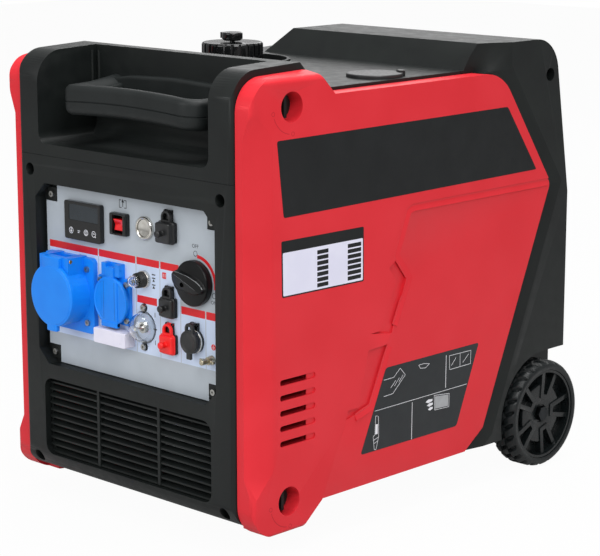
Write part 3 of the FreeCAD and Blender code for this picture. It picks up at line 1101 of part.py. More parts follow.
def industrialSocket():
    spot = ("bigX", "bigZ")
    front = "(-bigFront)"
    axisZ = "(bigZ + bigHingeUp)"
    top = f"({axisZ} + bigKnuckleR)"
    solid = [plateBlock("big_flange", "bigX", "bigZ", "bigHalf", "bigTall", "bigCorner",
                        "plateFront - bigFlange", "plateFront"),
             rod("big_barrel", "y", front, "plateFront", spot, "bigR"),
             rod("big_body", "y", "plateFront - 1", "bigBack", spot, "bigR - 1")]
    cheek = "(bigKnuckleHalf + seatGap)"
    for i, side in enumerate("+-"):
        ends = sorted((f"bigX {side} {cheek}", f"bigX {side} ({cheek} + bigCheek)"), key=number)
        solid.append(box(f"big_cheek_{i}", ends, (front, "plateFront - 1"),
                         ("bigZ + bigR/2", top)))
    bores = [rod("big_bore", "y", f"{front} - 1", "bigBoreEnd", spot, "bigBoreR"),
             rod("big_pin_hole", "x", f"bigX - {cheek} - bigCheek - 1",
                 f"bigX + {cheek} + bigCheek + 1", ("bigHingeY", axisZ), "bigPinR + journalGap")]
    for i in range(5):
        turn = f"({72 * i + 18} * 1 deg)"
        bores.append(rod(f"big_contact_{i}", "y", "bigBoreEnd - 1", "bigBoreEnd + bigContactDeep",
                         (f"bigX + bigContactPcd*cos({turn})", f"bigZ + bigContactPcd*sin({turn})"),
                         "bigContactR"))
    for i, (x, z, _) in enumerate(panelScrewSpots[4:8]):
        bores.append(rod(f"big_screw_hole_{i}", "y", "plateFront - bigFlange - 1",
                         "plateFront + 1", (x, z), "screwShankR + holeGap"))
    node("industrial_socket", cut("industrial_socket", join("big_whole", solid), bores))
    lidBack = f"({front} - capGap)"
    lidFront = f"({lidBack} - bigLidThick)"
    lid = [rod("big_lid_disc", "y", lidFront, lidBack, spot, "bigLidR"),
           box("big_lid_neck", ("bigX - bigKnuckleHalf", "bigX + bigKnuckleHalf"),
               (lidFront, lidBack), ("bigZ + bigBoreR", top)),
           box("big_lid_web", ("bigX - bigKnuckleHalf", "bigX + bigKnuckleHalf"),
               (lidFront, "bigHingeY"), (f"{axisZ} - bigKnuckleR + 1", top)),
           rod("big_lid_knuckle", "x", "bigX - bigKnuckleHalf", "bigX + bigKnuckleHalf",
               ("bigHingeY", axisZ), "bigKnuckleR"),
           rod("big_lid_pin", "x", "bigX - bigKnuckleHalf - bigCheek + 1",
               "bigX + bigKnuckleHalf + bigCheek - 1", ("bigHingeY", axisZ), "bigPinR"),
           box("big_lid_tab", ("bigX - 8", "bigX + 8"), (lidFront, lidBack),
               ("bigZ - bigTall + 2", "bigZ - bigBoreR"))]
    node("industrial_lid", join("industrial_lid", lid))


def householdSocket():
    spot = ("homeX", "homeZ")
    axisZ = "(homeZ + homeHingeUp)"
    top = "(homeZ + homeTowerTop)"
    sides = ("homeX - homeTowerHalf", "homeX + homeTowerHalf")
    solid = [plateBlock("home_flange", "homeX", "homeZ", "homeHalf", "homeHalf", "2",
                        "plateFront - homeFlange", "plateFront"),
             rod("home_barrel", "y", "homeFront", "plateFront", spot, "homeR"),
             rod("home_body", "y", "plateFront - 1", "homeBack", spot, "homeBodyR"),
             box("home_tower_foot", sides, ("plateFront - homeFlange", "plateFront"),
                 ("homeZ + homeBodyR", top)),
             box("home_tower", sides, ("homeTowerFront", "plateFront - 1"),
                 ("homeZ + homeLidR + capGap", top))]
    gap = "(homeKnuckleHalf + seatGap)"
    cuts = [rod("home_bore", "y", "homeFront - 1", "homeFront + homeBoreDeep", spot, "homeBoreR"),
            box("home_tower_slot", (f"homeX - {gap}", f"homeX + {gap}"),
                ("homeTowerFront - 1", "plateFront - 1.5"),
                ("homeZ + homeLidR", f"{top} + 1")),
            rod("home_pin_hole", "x", "homeX - homeTowerHalf - 1", "homeX + homeTowerHalf + 1",
                ("homeHingeY", axisZ), "homePinR + journalGap")]
    floor = "(homeFront + homeBoreDeep)"
    for i, side in enumerate("+-"):
        cuts.append(rod(f"home_contact_{i}", "y", f"{floor} - 1", f"{floor} + homeContactDeep",
                        (f"homeX {side} homeContactX", "homeZ"), "homeContactR"))
    for i, (x, z, _) in enumerate(panelScrewSpots[8:12]):
        cuts.append(rod(f"home_screw_hole_{i}", "y", "plateFront - homeFlange - 1",
                        "plateFront + 1", (x, z), "screwShankR + holeGap"))
    node("household_socket", cut("household_socket", join("home_whole", solid), cuts))
    back = "(homeFront - capGap)"
    front = f"({back} - homeLidThick)"
    knuckle = ("homeX - homeKnuckleHalf", "homeX + homeKnuckleHalf")
    lid = [rod("home_lid_disc", "y", front, back, spot, "homeLidR"),
           box("home_lid_neck", knuckle, (front, back), ("homeZ + homeBoreR", f"{axisZ} + 2")),
           rod("home_lid_knuckle", "x", *knuckle, ("homeHingeY", axisZ), "homeKnuckleR"),
           rod("home_lid_pin", "x", "homeX - homeTowerHalf + 0.5", "homeX + homeTowerHalf - 0.5",
               ("homeHingeY", axisZ), "homePinR"),
           box("home_lid_band", ("homeX - homeTabHalf", "homeX + homeTabHalf"),
               (f"{front} - 0.8", f"{front} + 1"), ("homeZ - homeTabLow", "homeZ + homeR - 2")),
           box("home_lid_tab", ("homeX - homeTabHalf", "homeX + homeTabHalf"),
               (front, back), ("homeZ - homeTabLow", "homeZ - homeBoreR"))]
    node("household_lid", join("household_lid", lid))


def panelLamp():
    x = "((lampLeft + lampRight)/2)"
    z = "((lampLow + lampTop)/2)"
    half, tall = "(lampRight - lampLeft)/2", "(lampTop - lampLow)/2"
    lens = plateBlock("lamp_lens", x, z, half, tall, "lampRound", "lampFront", "plateFront")
    room = plateBlock("lamp_room", x, z, f"{half} - lampWall", f"{tall} - lampWall",
                      "lampRound - lampWall + 0.3", "lampFront + lampWall", "plateFront + 1")
    node("panel_lamp", cut("panel_lamp", lens, [room]))


def breaker():
    at = ("breakerX", "0", "breakerZ")
    bore = "breakerButtonR + journalGap"
    node("breaker_body", spun("breaker_body", "y", [
        (bore, "breakerFront"), ("breakerR", "breakerFront", "0.6"), ("breakerR", "plateFront"),
        ("breakerBodyR", "plateFront"), ("breakerBodyR", "breakerBack"), ("0", "breakerBack"),
        ("0", "breakerBoreEnd"), (bore, "breakerBoreEnd")]), at)
    node("breaker_button", spun("breaker_button", "y", [
        ("0", "breakerButtonFront"), ("breakerButtonR", "breakerButtonFront", "1"),
        ("breakerButtonR", "breakerButtonEnd"), ("0", "breakerButtonEnd")]), at)
    node("breaker_boot", spun("breaker_boot", "y", [
        ("0", "bootTip"), ("bootR - 1", "bootTip", "1.5"), ("bootR", "breakerFront - 2"),
        ("bootR + 1.5", "breakerFront - 2"), ("bootR + 1.5", "breakerFront"),
        ("bootInnerR", "breakerFront"), ("bootInnerR", "bootTip + 1.2"),
        ("0", "bootTip + 1.2")]), at)


def toggle():
    at = ("toggleX", "0", "toggleZ")
    body = "(toggleNutR - 1)"
    sleeve = spun("toggle_sleeve", "y", [
        ("toggleBoreR", "toggleFront"), ("toggleNutR", "toggleFront"),
        ("toggleNutR", "plateFront"), (body, "plateFront"), (body, "toggleBack"),
        ("0", "toggleBack"), ("0", "toggleBallY + toggleBoreR"),
        ("toggleBoreR", "toggleBallY + toggleBoreR")])
    hole = rod("toggle_pin_hole", "x", "-toggleNutR - 1", "toggleNutR + 1", ("toggleBallY", "0"),
               "togglePinR + journalGap")
    node("toggle_body", cut("toggle_body", sleeve, [hole]), at)
    ball = doc.addObject("Part::Sphere", "toggle_ball")
    bind(ball, "Radius", "toggleBallR")
    bind(ball, "Placement.Base.y", "toggleBallY")
    lever = rod("toggle_stick", "y", "toggleTip", "toggleBallY", ("0", "0"), "toggleLeverR")
    pin = rod("toggle_pin", "x", "-togglePinHalf", "togglePinHalf", ("toggleBallY", "0"),
              "togglePinR")
    node("toggle_lever", join("toggle_lever", [ball, lever, pin]), at)
    flange = "(plateFront - domeFlange)"
    outer = doc.addObject("Part::Sphere", "dome_outer")
    bind(outer, "Radius", "domeR")
    inner = doc.addObject("Part::Sphere", "dome_inner")
    bind(inner, "Radius", "domeR - domeWall")
    for ball in (outer, inner):
        bind(ball, "Placement.Base.x", "toggleX")
        bind(ball, "Placement.Base.y", flange)
        bind(ball, "Placement.Base.z", "toggleZ")
    plate = [rod("dome_flange", "y", flange, "plateFront", ("toggleX", "toggleZ"),
                 "domeFlangeR")]
    holes = [inner, box("dome_behind", ("toggleX - 2*domeR", "toggleX + 2*domeR"),
                        ("plateFront", "plateFront + 2*domeR"),
                        ("toggleZ - 2*domeR", "toggleZ + 2*domeR")),
             rod("dome_mouth", "y", flange, "plateFront + 1", ("toggleX", "toggleZ"),
                 "domeR - domeWall")]
    for i, side in enumerate("+-"):
        spot = ("toggleX", f"toggleZ {side} domeScrewUp")
        plate.append(rod(f"dome_ear_{i}", "y", flange, "plateFront", spot, "screwHeadR + 1"))
        holes.append(rod(f"dome_screw_hole_{i}", "y", f"{flange} - 1", "plateFront + 1", spot,
                         "screwShankR + holeGap"))
    node("toggle_dome", cut("toggle_dome", join("dome_whole", [outer] + plate), holes))


def selectorKnob():
    body = doc.addObject("PartDesign::Body", "selector_knob")
    sketch = bodySketch(body, "xy")
    draw(sketch, [("0", "knobTop"), ("knobTopR", "knobTop", "1.5"), ("knobR", "knobBase"),
                  ("knobShaftR", "knobBase"), ("knobShaftR", "knobShaftEnd"),
                  ("0", "knobShaftEnd")])
    revolved(body, sketch, "Y")
    ridge = bodySketch(body, "xz", "-knobTop - 1")
    draw(ridge, [("-knobLobe", "-knobRidgeHalf + 1", "3"),
                 ("knobTopR - 4", "-knobRidgeHalf", "4.5"), ("knobTopR - 4", "knobRidgeHalf", "4.5"),
                 ("-knobLobe", "knobRidgeHalf - 1", "3")])
    pad(body, ridge, "knobTop - knobRidgeTop + 1")
    lobe = bodySketch(body, "xz", "-knobBase")
    draw(lobe, [("-knobLobe", "-knobRidgeHalf + 1", "3"), ("-knobR + 6", "-knobRidgeHalf"),
                ("-knobR + 6", "knobRidgeHalf"), ("-knobLobe", "knobRidgeHalf - 1", "3")])
    pad(body, lobe, "knobBase - knobRidgeTop - 2")
    node("selector_knob", body, ("knobX", "0", "knobZ"))


def earthTerminal():
    at = ("earthX", "0", "earthZ")
    node("ground_stud", spun("ground_stud", "y", [
        ("0", "earthStudFront"), ("earthStudR", "earthStudFront", "0.8"),
        ("earthStudR", "plateFront - 1.5"), ("earthNutR - 1", "plateFront - 1.5"),
        ("earthNutR - 1", "plateFront"), ("earthStudR", "plateFront"),
        ("earthStudR", f"{plateBack} + wall"), ("earthNutR", f"{plateBack} + wall"),
        ("earthNutR", f"{plateBack} + wall + earthNutThick"),
        ("earthStudR", f"{plateBack} + wall + earthNutThick"), ("earthStudR", "earthStudEnd + 3"),
        ("0", "earthStudEnd + 3")]), at)
    back = "(plateFront - 1.5 - seatGap)"
    nut = doc.addObject("PartDesign::Body", "ground_nut")
    sketch = bodySketch(nut, "xy")
    draw(sketch, [("earthStudR + journalGap", f"{back} - wingThick"),
                  ("wingR - 1", f"{back} - wingThick"), ("wingR", back),
                  ("earthStudR + journalGap", back)])
    revolved(nut, sketch, "Y")
    for side in ("", "-"):
        wing = bodySketch(nut, "xy", "-wingWide/2")
        draw(wing, [(f"{side}(wingR - 1.5)", f"{back} - 1"), (f"{side}wingSpan", f"{back} - 4"),
                    (f"{side}wingSpan", f"{back} - wingThick - 3", "1.5"),
                    (f"{side}(wingR - 1.5)", f"{back} - wingThick + 0.5")])
        pad(nut, wing, "wingWide")
    node("ground_nut", nut, at)


def screw(name, axis, seat, centre):
    # head in front of the seat (towards lower values of the axis), shank behind it
    solid = join(name + "_solid", [
        rod(name + "_head", axis, f"({seat}) - screwHead", seat, centre, "screwHeadR"),
        rod(name + "_shank", axis, seat, f"({seat}) + screwLong", centre, "screwShankR")])
    return cut(name, solid, [rod(name + "_socket", axis, f"({seat}) - screwHead - 1",
                                 f"({seat}) - 1", centre, "screwSocketR")])


def screws():
    group("panel_screws", [screw(f"panel_screw_{i}", "y", f"plateFront - {flange}", (x, z))
                           for i, (x, z, flange) in enumerate(panelScrewSpots)])
    front = [screw(f"frame_screw_{i}", "y", "frameHoleDeep", place)
             for i, place in enumerate(frameHoles)]
    left = screw("rear_screw_left", "x", "-caseHalf + 5*wall", ("rearScrewY", "rearScrewZ"))
    group("case_screws", front + [left, mirrored("rear_screw_right", left)])


# ---- running gear --------------------------------------------------------------------------

def wheels():
    inner, outer = "(wheelOuter - wheelWide)", "wheelOuter"
    at = ("0", "wheelY", "wheelR")
    tyre = spun("tyre_right", "x", [
        ("tyreInnerR", f"{inner} + 3"), ("tyreInnerR", f"{outer} - 3"),
        ("tyreInnerR + 2", f"{outer} - 1"), ("tyreInnerR + 4.5", outer),
        ("wheelR - 3.5", f"{outer} - 2"), ("wheelR", f"{outer} - treadShoulder", "3"),
        ("wheelR", f"{inner} + treadShoulder", "3"), ("wheelR - 3.5", f"{inner} + 2"),
        ("tyreInnerR + 4.5", inner), ("tyreInnerR + 2", f"{inner} + 1")])
    middle = f"(({inner} + {outer})/2)"
    grooves = []
    for side, shift in (("+", "0"), ("-", "(wheelR*3.1416/treadCount)")):
        reach = "(wheelWide/2 + 1)"
        sketch = bodySketch(tyre, "xy", "wheelR + 1")
        near, far = f"{middle} {side} 1", f"{middle} {side} {reach}"
        rise = f"({reach}*treadSlant)"
        draw(sketch, [(near, shift), (far, f"{shift} + {rise}"),
                      (far, f"{shift} + {rise} + treadWide"), (near, f"{shift} + treadWide")])
        grooves.append(pocket(tyre, sketch, "treadDeep + 1"))
    polar(tyre, grooves, "X", "treadCount")
    node("tyre_right", tyre, at)
    node("tyre_left", mirrored("tyre_left", tyre), moved=False)
    webOut = "(wheelOuter - webInset)"
    hub = spun("hub_right", "x", [
        ("axleR + journalGap", "tailHalf + seatGap"), ("hubR", "tailHalf + seatGap"),
        ("hubR", f"{webOut} - webThick"), ("rimR", f"{webOut} - webThick"),
        ("rimR", f"{inner} + rimInset"), ("tyreInnerR - seatGap", f"{inner} + rimInset"),
        ("tyreInnerR - seatGap", f"{outer} - rimInset"), ("rimR", f"{outer} - rimInset"),
        ("rimR", webOut), ("hubR", webOut), ("hubR", f"{outer} - hubInset"),
        ("axleR + journalGap", f"{outer} - hubInset")])
    loop = bodySketch(hub, "yz", f"{webOut} - 0.5")
    draw(loop, [("spokeFoot", "-spokeOuter/2", "2"), ("rimR + 1", "-spokeOuter"),
                ("rimR + 1", "-spokeOuter + spokeWall"),
                ("spokeFoot + spokeWall", "-spokeOuter/2 + spokeWall - 1"),
                ("spokeFoot + spokeWall", "spokeOuter/2 - spokeWall + 1"),
                ("rimR + 1", "spokeOuter - spokeWall"), ("rimR + 1", "spokeOuter"),
                ("spokeFoot", "spokeOuter/2", "2")])
    polar(hub, [pad(hub, loop, "spokeHigh + 0.5")], "X", "spokeCount")
    node("hub_right", hub, at)
    node("hub_left", mirrored("hub_left", hub), moved=False)
    headStart = f"({outer} - hubInset + seatGap)"
    pieces = [rod("axle_rod", "x", f"-{headStart} - 1", f"{headStart} + 1",
                  ("wheelY", "wheelR"), "axleR")]
    hexagon = [(f"wheelY + ({a})*axleHeadR", f"wheelR + ({b})*axleHeadR")
               for a, b in ((1, 0), (0.5, 0.866), (-0.5, 0.866), (-1, 0), (-0.5, -0.866),
                            (0.5, -0.866))]
    pieces += [prism("axle_head_right", "yz", hexagon, headStart, f"{headStart} + axleHead"),
               prism("axle_head_left", "yz", hexagon, f"-{headStart} - axleHead",
                     f"-{headStart}")]
    node("axle", join("axle", pieces))


# ---- inside --------------------------------------------------------------------------------

def engineBlock():
    deck = "(trayZ + trayThick)"
    solid = [box("engine_case", ("-blockHalf", "blockHalf"), ("blockFront", "blockRear"),
                 ("blockLow", "blockTop")),
             box("engine_cylinder", ("-cylinderHalf", "cylinderHalf"),
                 ("cylinderFront", "cylinderRear"), ("blockTop - 1", "cylinderTop")),
             rod("engine_port", "y", "cylinderRear - 1", "mufflerFront", ("0", "portZ"),
                 "portR")]
    for i, (a, front) in enumerate((a, front) for a in ("-", "")
                                   for front in ("blockFront", "blockRear - 2*footPadHalf")):
        low = f"{a}blockHalf" + (" - 2*footPadHalf" if not a else "")
        solid.append(box(f"engine_foot_{i}", (low, f"{low} + 2*footPadHalf"),
                         (front, f"{front} + 2*footPadHalf"), (deck, "blockLow + 1")))
    for i in range(int(sizes["finCount"])):
        z = f"(blockTop + {i + 1}*finPitch)"
        solid.append(box(f"engine_fin_{i}", ("-cylinderHalf - finOut", "cylinderHalf + finOut"),
                         ("cylinderFront - finOut", "cylinderRear + finOut"),
                         (z, f"{z} + finThick")))
    holes = [rod("engine_crank_hole", "y", "blockFront - 1", "shaftEnd + 1", ("0", "shaftZ"),
                 "shaftR + journalGap"),
             rod("engine_duct_room", "x", "cylinderHalf", "cylinderHalf + 2*finOut",
                 ("(airFront + airRear)/2", "airDuctZ"), "airDuctR + seatGap")]
    node("engine_block", cut("engine_block", join("engine_whole", solid), holes))


def alternator():
    body = spun("stator", "y", [("statorBoreR", "statorFront"), ("statorR", "statorFront"),
                                ("statorR", "blockFront"), ("statorBoreR", "blockFront")])
    slotSketch = bodySketch(body, "xz", "-statorFront + 1")
    draw(slotSketch, [("statorR - slotDeep", "-slotWide/2"), ("statorR + 1", "-slotWide/2"),
                      ("statorR + 1", "slotWide/2"), ("statorR - slotDeep", "slotWide/2")])
    polar(body, [pocket(body, slotSketch, "blockFront - statorFront - 5")], "Y", "statorSlots")
    node("stator", body, ("0", "0", "shaftZ"))
    webBack = "(rotorFront + rotorWeb)"
    rotor = spun("rotor_shaft", "y", [
        ("0", "shaftFront"), ("shaftR", "shaftFront"), ("shaftR", "rotorFront"),
        ("fanR", "rotorFront"), ("fanR", webBack), ("rotorR", webBack), ("rotorR", "rotorEnd"),
        ("rotorInnerR", "rotorEnd"), ("rotorInnerR", webBack), ("shaftR", webBack),
        ("shaftR", "shaftEnd"), ("0", "shaftEnd")])
    blade = bodySketch(rotor, "xz", "-rotorFront")
    draw(blade, [("2*shaftR", "-fanBladeThick/2"), ("fanR - 1", "-fanBladeThick/2"),
                 ("fanR - 1", "fanBladeThick/2"), ("2*shaftR", "fanBladeThick/2")])
    polar(rotor, [pad(rotor, blade, "fanThick")], "Y", "fanBlades")
    node("rotor_shaft", rotor, ("0", "0", "shaftZ"))


def mufflerBox():
    whole = prism("muffler_box", "xz",
                  [(f"{a}mufflerHalf", z, "mufflerRound")
                   for a, z in (("-", "mufflerLow"), ("", "mufflerLow"), ("", "mufflerTop"),
                                ("-", "mufflerTop"))], "mufflerFront", "mufflerRear")
    pipe = rod("muffler_pipe", "y", "mufflerRear - 1", "pipeEnd", ("exhaustX", "exhaustZ"),
               "pipeR")
    bore = rod("muffler_bore", "y", "mufflerRear - 2*wall", "pipeEnd + 1",
               ("exhaustX", "exhaustZ"), "pipeBoreR")
    room = prism("muffler_room", "xz",
                 [(f"{a}(mufflerHalf - wall)", z, "mufflerRound - wall")
                  for a, z in (("-", "mufflerLow + wall"), ("", "mufflerLow + wall"),
                               ("", "mufflerTop - wall"), ("-", "mufflerTop - wall"))],
                 "mufflerFront + wall", "mufflerRear - wall")
    node("muffler", cut("muffler", join("muffler_whole", [whole, pipe]), [bore, room]))


def fuelTank():
    corners = [(x, y, "tankRound") for x, y in (("tankLeft", "tankFront"),
                                                ("tankRight", "tankFront"),
                                                ("tankRight", "tankRear"),
                                                ("tankLeft", "tankRear"))]
    inner = [(f"tankLeft + wall", "tankFront + wall"), ("tankRight - wall", "tankFront + wall"),
             ("tankRight - wall", "tankRear - wall"), ("tankLeft + wall", "tankRear - wall")]
    spot = ("fuelX", "fuelY")
    solid = [prism("tank_box", "xy", corners, "tankLow", "tankTop"),
             rod("tank_neck", "z", "tankTop - 1", "neckTop", spot, "neckR")]
    solid += [rod(f"tank_ear_{i}", "z", "tankTop - 1", "topZ - wall", place, "tankEarR")
              for i, place in enumerate((x, y) for x in ("tankLeft + tankEarInset",
                                                         "tankRight - tankEarInset")
                                        for y in ("tankFront + tankEarInset",
                                                  "tankRear - tankEarInset"))]
    room = [prism("tank_room", "xy", [(x, y, "tankRound - wall") for x, y in inner],
                  "tankLow + wall", "tankTop - wall"),
            rod("tank_neck_bore", "z", "tankTop - 2*wall", "neckTop + 1", spot, "neckBoreR")]
    node("fuel_tank", cut("fuel_tank", join("tank_whole", solid), room))


def electrics():
    deck = "(trayZ + trayThick)"
    top = f"({deck} + unitHigh)"
    unit = [box("unit_case", ("-unitHalf", "unitHalf"), ("unitFront", "unitRear"), (deck, top))]
    for i in range(int(sizes["unitFins"])):
        x = f"(-unitHalf + {i + 0.5}*2*unitHalf/unitFins)"
        unit.append(box(f"unit_fin_{i}", (f"{x} - unitFinThick/2", f"{x} + unitFinThick/2"),
                        ("unitFront + wall", "unitRear - wall"),
                        (f"{top} - 1", f"{top} + unitFinHigh")))
    node("inverter_unit", join("inverter_unit", unit))
    lid = f"({deck} + batteryHigh)"
    cell = [box("battery_case", ("batteryLeft", "batteryRight"), ("batteryFront", "batteryRear"),
                (deck, lid))]
    cell += [rod(f"battery_post_{i}", "z", f"{lid} - 1", f"{lid} + batteryPostHigh",
                 ("(batteryLeft + batteryRight)/2", y), "batteryPostR")
             for i, y in enumerate(("batteryFront + 5*batteryPostR",
                                    "batteryRear - 5*batteryPostR"))]
    node("battery", join("battery", cell))


def airBox():
    node("air_box", join("air_box", [
        box("air_case", ("airLeft", "airRight"), ("airFront", "airRear"), ("airLow", "airTop")),
        rod("air_duct", "x", "cylinderHalf", "airLeft + 1",
            ("(airFront + airRear)/2", "airDuctZ"), "airDuctR")]))


sideCovers()
frontFrame()
intakeGrille()
handleCover()
gripHalf("grip_lower", "gripLow", "gripSplit", "gripLow")
gripHalf("grip_upper", "gripSplit", "gripTop", "gripTop")
topCover()
fuelCap()
rearCover()
latches()
baseTray()
controlPlate()
displayUnit()
rockerSwitch()
startButton()
smallSockets()
auxSocket()
industrialSocket()
householdSocket()
panelLamp()
breaker()
toggle()
selectorKnob()
earthTerminal()
screws()
wheels()
engineBlock()
alternator()
mufflerBox()
fuelTank()
electrics()
airBox()

doc.recompute()
faulty = [thing.Label for thing in doc.Objects
          if "Invalid" in thing.State or "Error" in thing.State]
faulty += [thing.Label for thing in nodes
           if thing.Shape.isNull() or not thing.Shape.isValid() or not thing.Shape.Solids]
if faulty:
    raise RuntimeError("these objects did not come out right: " + ", ".join(faulty))

os.makedirs("parts", exist_ok=True)
for thing in nodes:
    thing.Shape.exportStep(f"parts/{thing.Label}.step")
    bounds = thing.Shape.BoundBox
    print(f"{thing.Label}: {len(thing.Shape.Solids)} solid, "
          f"x {bounds.XMin:.1f} {bounds.XMax:.1f}, y {bounds.YMin:.1f} {bounds.YMax:.1f}, "
          f"z {bounds.ZMin:.1f} {bounds.ZMax:.1f}")
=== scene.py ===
import json
import math

import bmesh
import bpy
import numpy as np
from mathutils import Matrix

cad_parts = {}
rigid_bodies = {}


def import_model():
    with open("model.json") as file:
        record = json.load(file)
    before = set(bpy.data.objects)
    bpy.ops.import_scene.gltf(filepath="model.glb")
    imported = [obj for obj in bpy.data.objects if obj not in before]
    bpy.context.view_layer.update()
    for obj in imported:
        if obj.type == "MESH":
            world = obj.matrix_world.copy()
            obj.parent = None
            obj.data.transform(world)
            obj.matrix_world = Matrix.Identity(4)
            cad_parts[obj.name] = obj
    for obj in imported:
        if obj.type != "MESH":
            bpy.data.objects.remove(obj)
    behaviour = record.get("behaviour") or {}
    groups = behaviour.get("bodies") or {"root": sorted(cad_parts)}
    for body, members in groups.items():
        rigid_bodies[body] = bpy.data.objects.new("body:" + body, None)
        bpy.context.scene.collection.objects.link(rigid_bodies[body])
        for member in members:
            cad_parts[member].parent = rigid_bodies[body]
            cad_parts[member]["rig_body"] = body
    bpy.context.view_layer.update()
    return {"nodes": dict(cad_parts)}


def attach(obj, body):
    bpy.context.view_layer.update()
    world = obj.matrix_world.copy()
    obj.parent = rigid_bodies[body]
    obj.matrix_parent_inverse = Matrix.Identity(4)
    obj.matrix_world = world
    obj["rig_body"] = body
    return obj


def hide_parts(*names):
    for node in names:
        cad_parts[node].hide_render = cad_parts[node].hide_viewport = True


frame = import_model()
nodes = frame["nodes"]
middleY = 263.45  # mm from the front of the case to the middle of the frame
print("frame loaded:", len(nodes), "pieces")


def linear(hexText, alpha=1.0):
    # an sRGB hex colour in the linear numbers that the shader reads
    parts = np.array([int(hexText[i:i + 2], 16) for i in (1, 3, 5)]) / 255
    low, high = parts / 12.92, ((parts + 0.055) / 1.055) ** 2.4
    return (*np.where(parts <= 0.04045, low, high).tolist(), alpha)


def add(tree, kind, inputs=None, **settings):
    # one node: its settings, its numbers, and its links, which are given as output sockets
    node = tree.nodes.new(kind)
    for name, value in settings.items():
        setattr(node, name, value)
    for name, value in (inputs or {}).items():
        socket = node.inputs[name]
        if isinstance(value, bpy.types.NodeSocket):
            tree.links.new(value, socket)
        else:
            socket.default_value = value
    return node


def newMaterial(name):
    # an empty material with its output and the piece's own coordinates, in metres
    material = bpy.data.materials.new(name)
    material.use_nodes = True
    tree = material.node_tree
    tree.nodes.clear()
    output = add(tree, "ShaderNodeOutputMaterial")
    coords = add(tree, "ShaderNodeTexCoord")
    return material, tree, output, coords.outputs["Object"]


def mottled(tree, place, colour, other, sizeMm, low=0.35, high=0.65):
    # two near colours mixed in soft clouds about sizeMm across
    cloud = add(tree, "ShaderNodeTexNoise", {"Vector": place, "Scale": 1000 / sizeMm, "Detail": 3.0})
    share = add(tree, "ShaderNodeMapRange",
                {"Value": cloud.outputs["Fac"], "From Min": low, "From Max": high})
    return add(tree, "ShaderNodeMix", {0: share.outputs["Result"], 6: linear(colour), 7: linear(other)},
               data_type="RGBA").outputs[2]


def grainBump(tree, place, grainMm, depthMm, waveMm=0.0, waveDepthMm=0.0):
    # height of the moulded or cast grain, with a slow waviness under it where the piece is large
    grain = add(tree, "ShaderNodeTexNoise", {"Vector": place, "Scale": 1000 / grainMm, "Detail": 2.0,
                                             "Roughness": 0.6})
    bump = add(tree, "ShaderNodeBump", {"Height": grain.outputs["Fac"], "Strength": 1.0,
                                        "Distance": depthMm / 1000})
    if waveMm:
        wave = add(tree, "ShaderNodeTexNoise", {"Vector": place, "Scale": 1000 / waveMm, "Detail": 1.0})
        slow = add(tree, "ShaderNodeBump", {"Height": wave.outputs["Fac"], "Strength": 1.0,
                                            "Distance": waveDepthMm / 1000})
        tree.links.new(slow.outputs["Normal"], bump.inputs["Normal"])
    return bump.outputs["Normal"]


def roughSpread(tree, place, rough, spread, sizeMm):
    # roughness that wanders by spread either side of its middle value
    cloud = add(tree, "ShaderNodeTexNoise", {"Vector": place, "Scale": 1000 / sizeMm, "Detail": 2.0})
    return add(tree, "ShaderNodeMapRange", {"Value": cloud.outputs["Fac"], "From Min": 0.3, "From Max": 0.7,
                                            "To Min": rough - spread, "To Max": rough + spread}).outputs[0]


def solidFinish(name, colour, other, rough, spread, cloudMm, grainMm, depthMm, ior, specular, metallic,
                waveMm=0, waveDepthMm=0):
    # the common body of the opaque finishes: clouded colour, wandering roughness and a grain
    material, tree, output, place = newMaterial(name)
    shader = add(tree, "ShaderNodeBsdfPrincipled", {
        "Base Color": mottled(tree, place, colour, other, cloudMm),
        "Roughness": roughSpread(tree, place, rough, spread, cloudMm / 4),
        "Normal": grainBump(tree, place, grainMm, depthMm, waveMm, waveDepthMm),
        "IOR": ior, "Specular IOR Level": specular, "Metallic": metallic})
    tree.links.new(shader.outputs["BSDF"], output.inputs["Surface"])
    return material


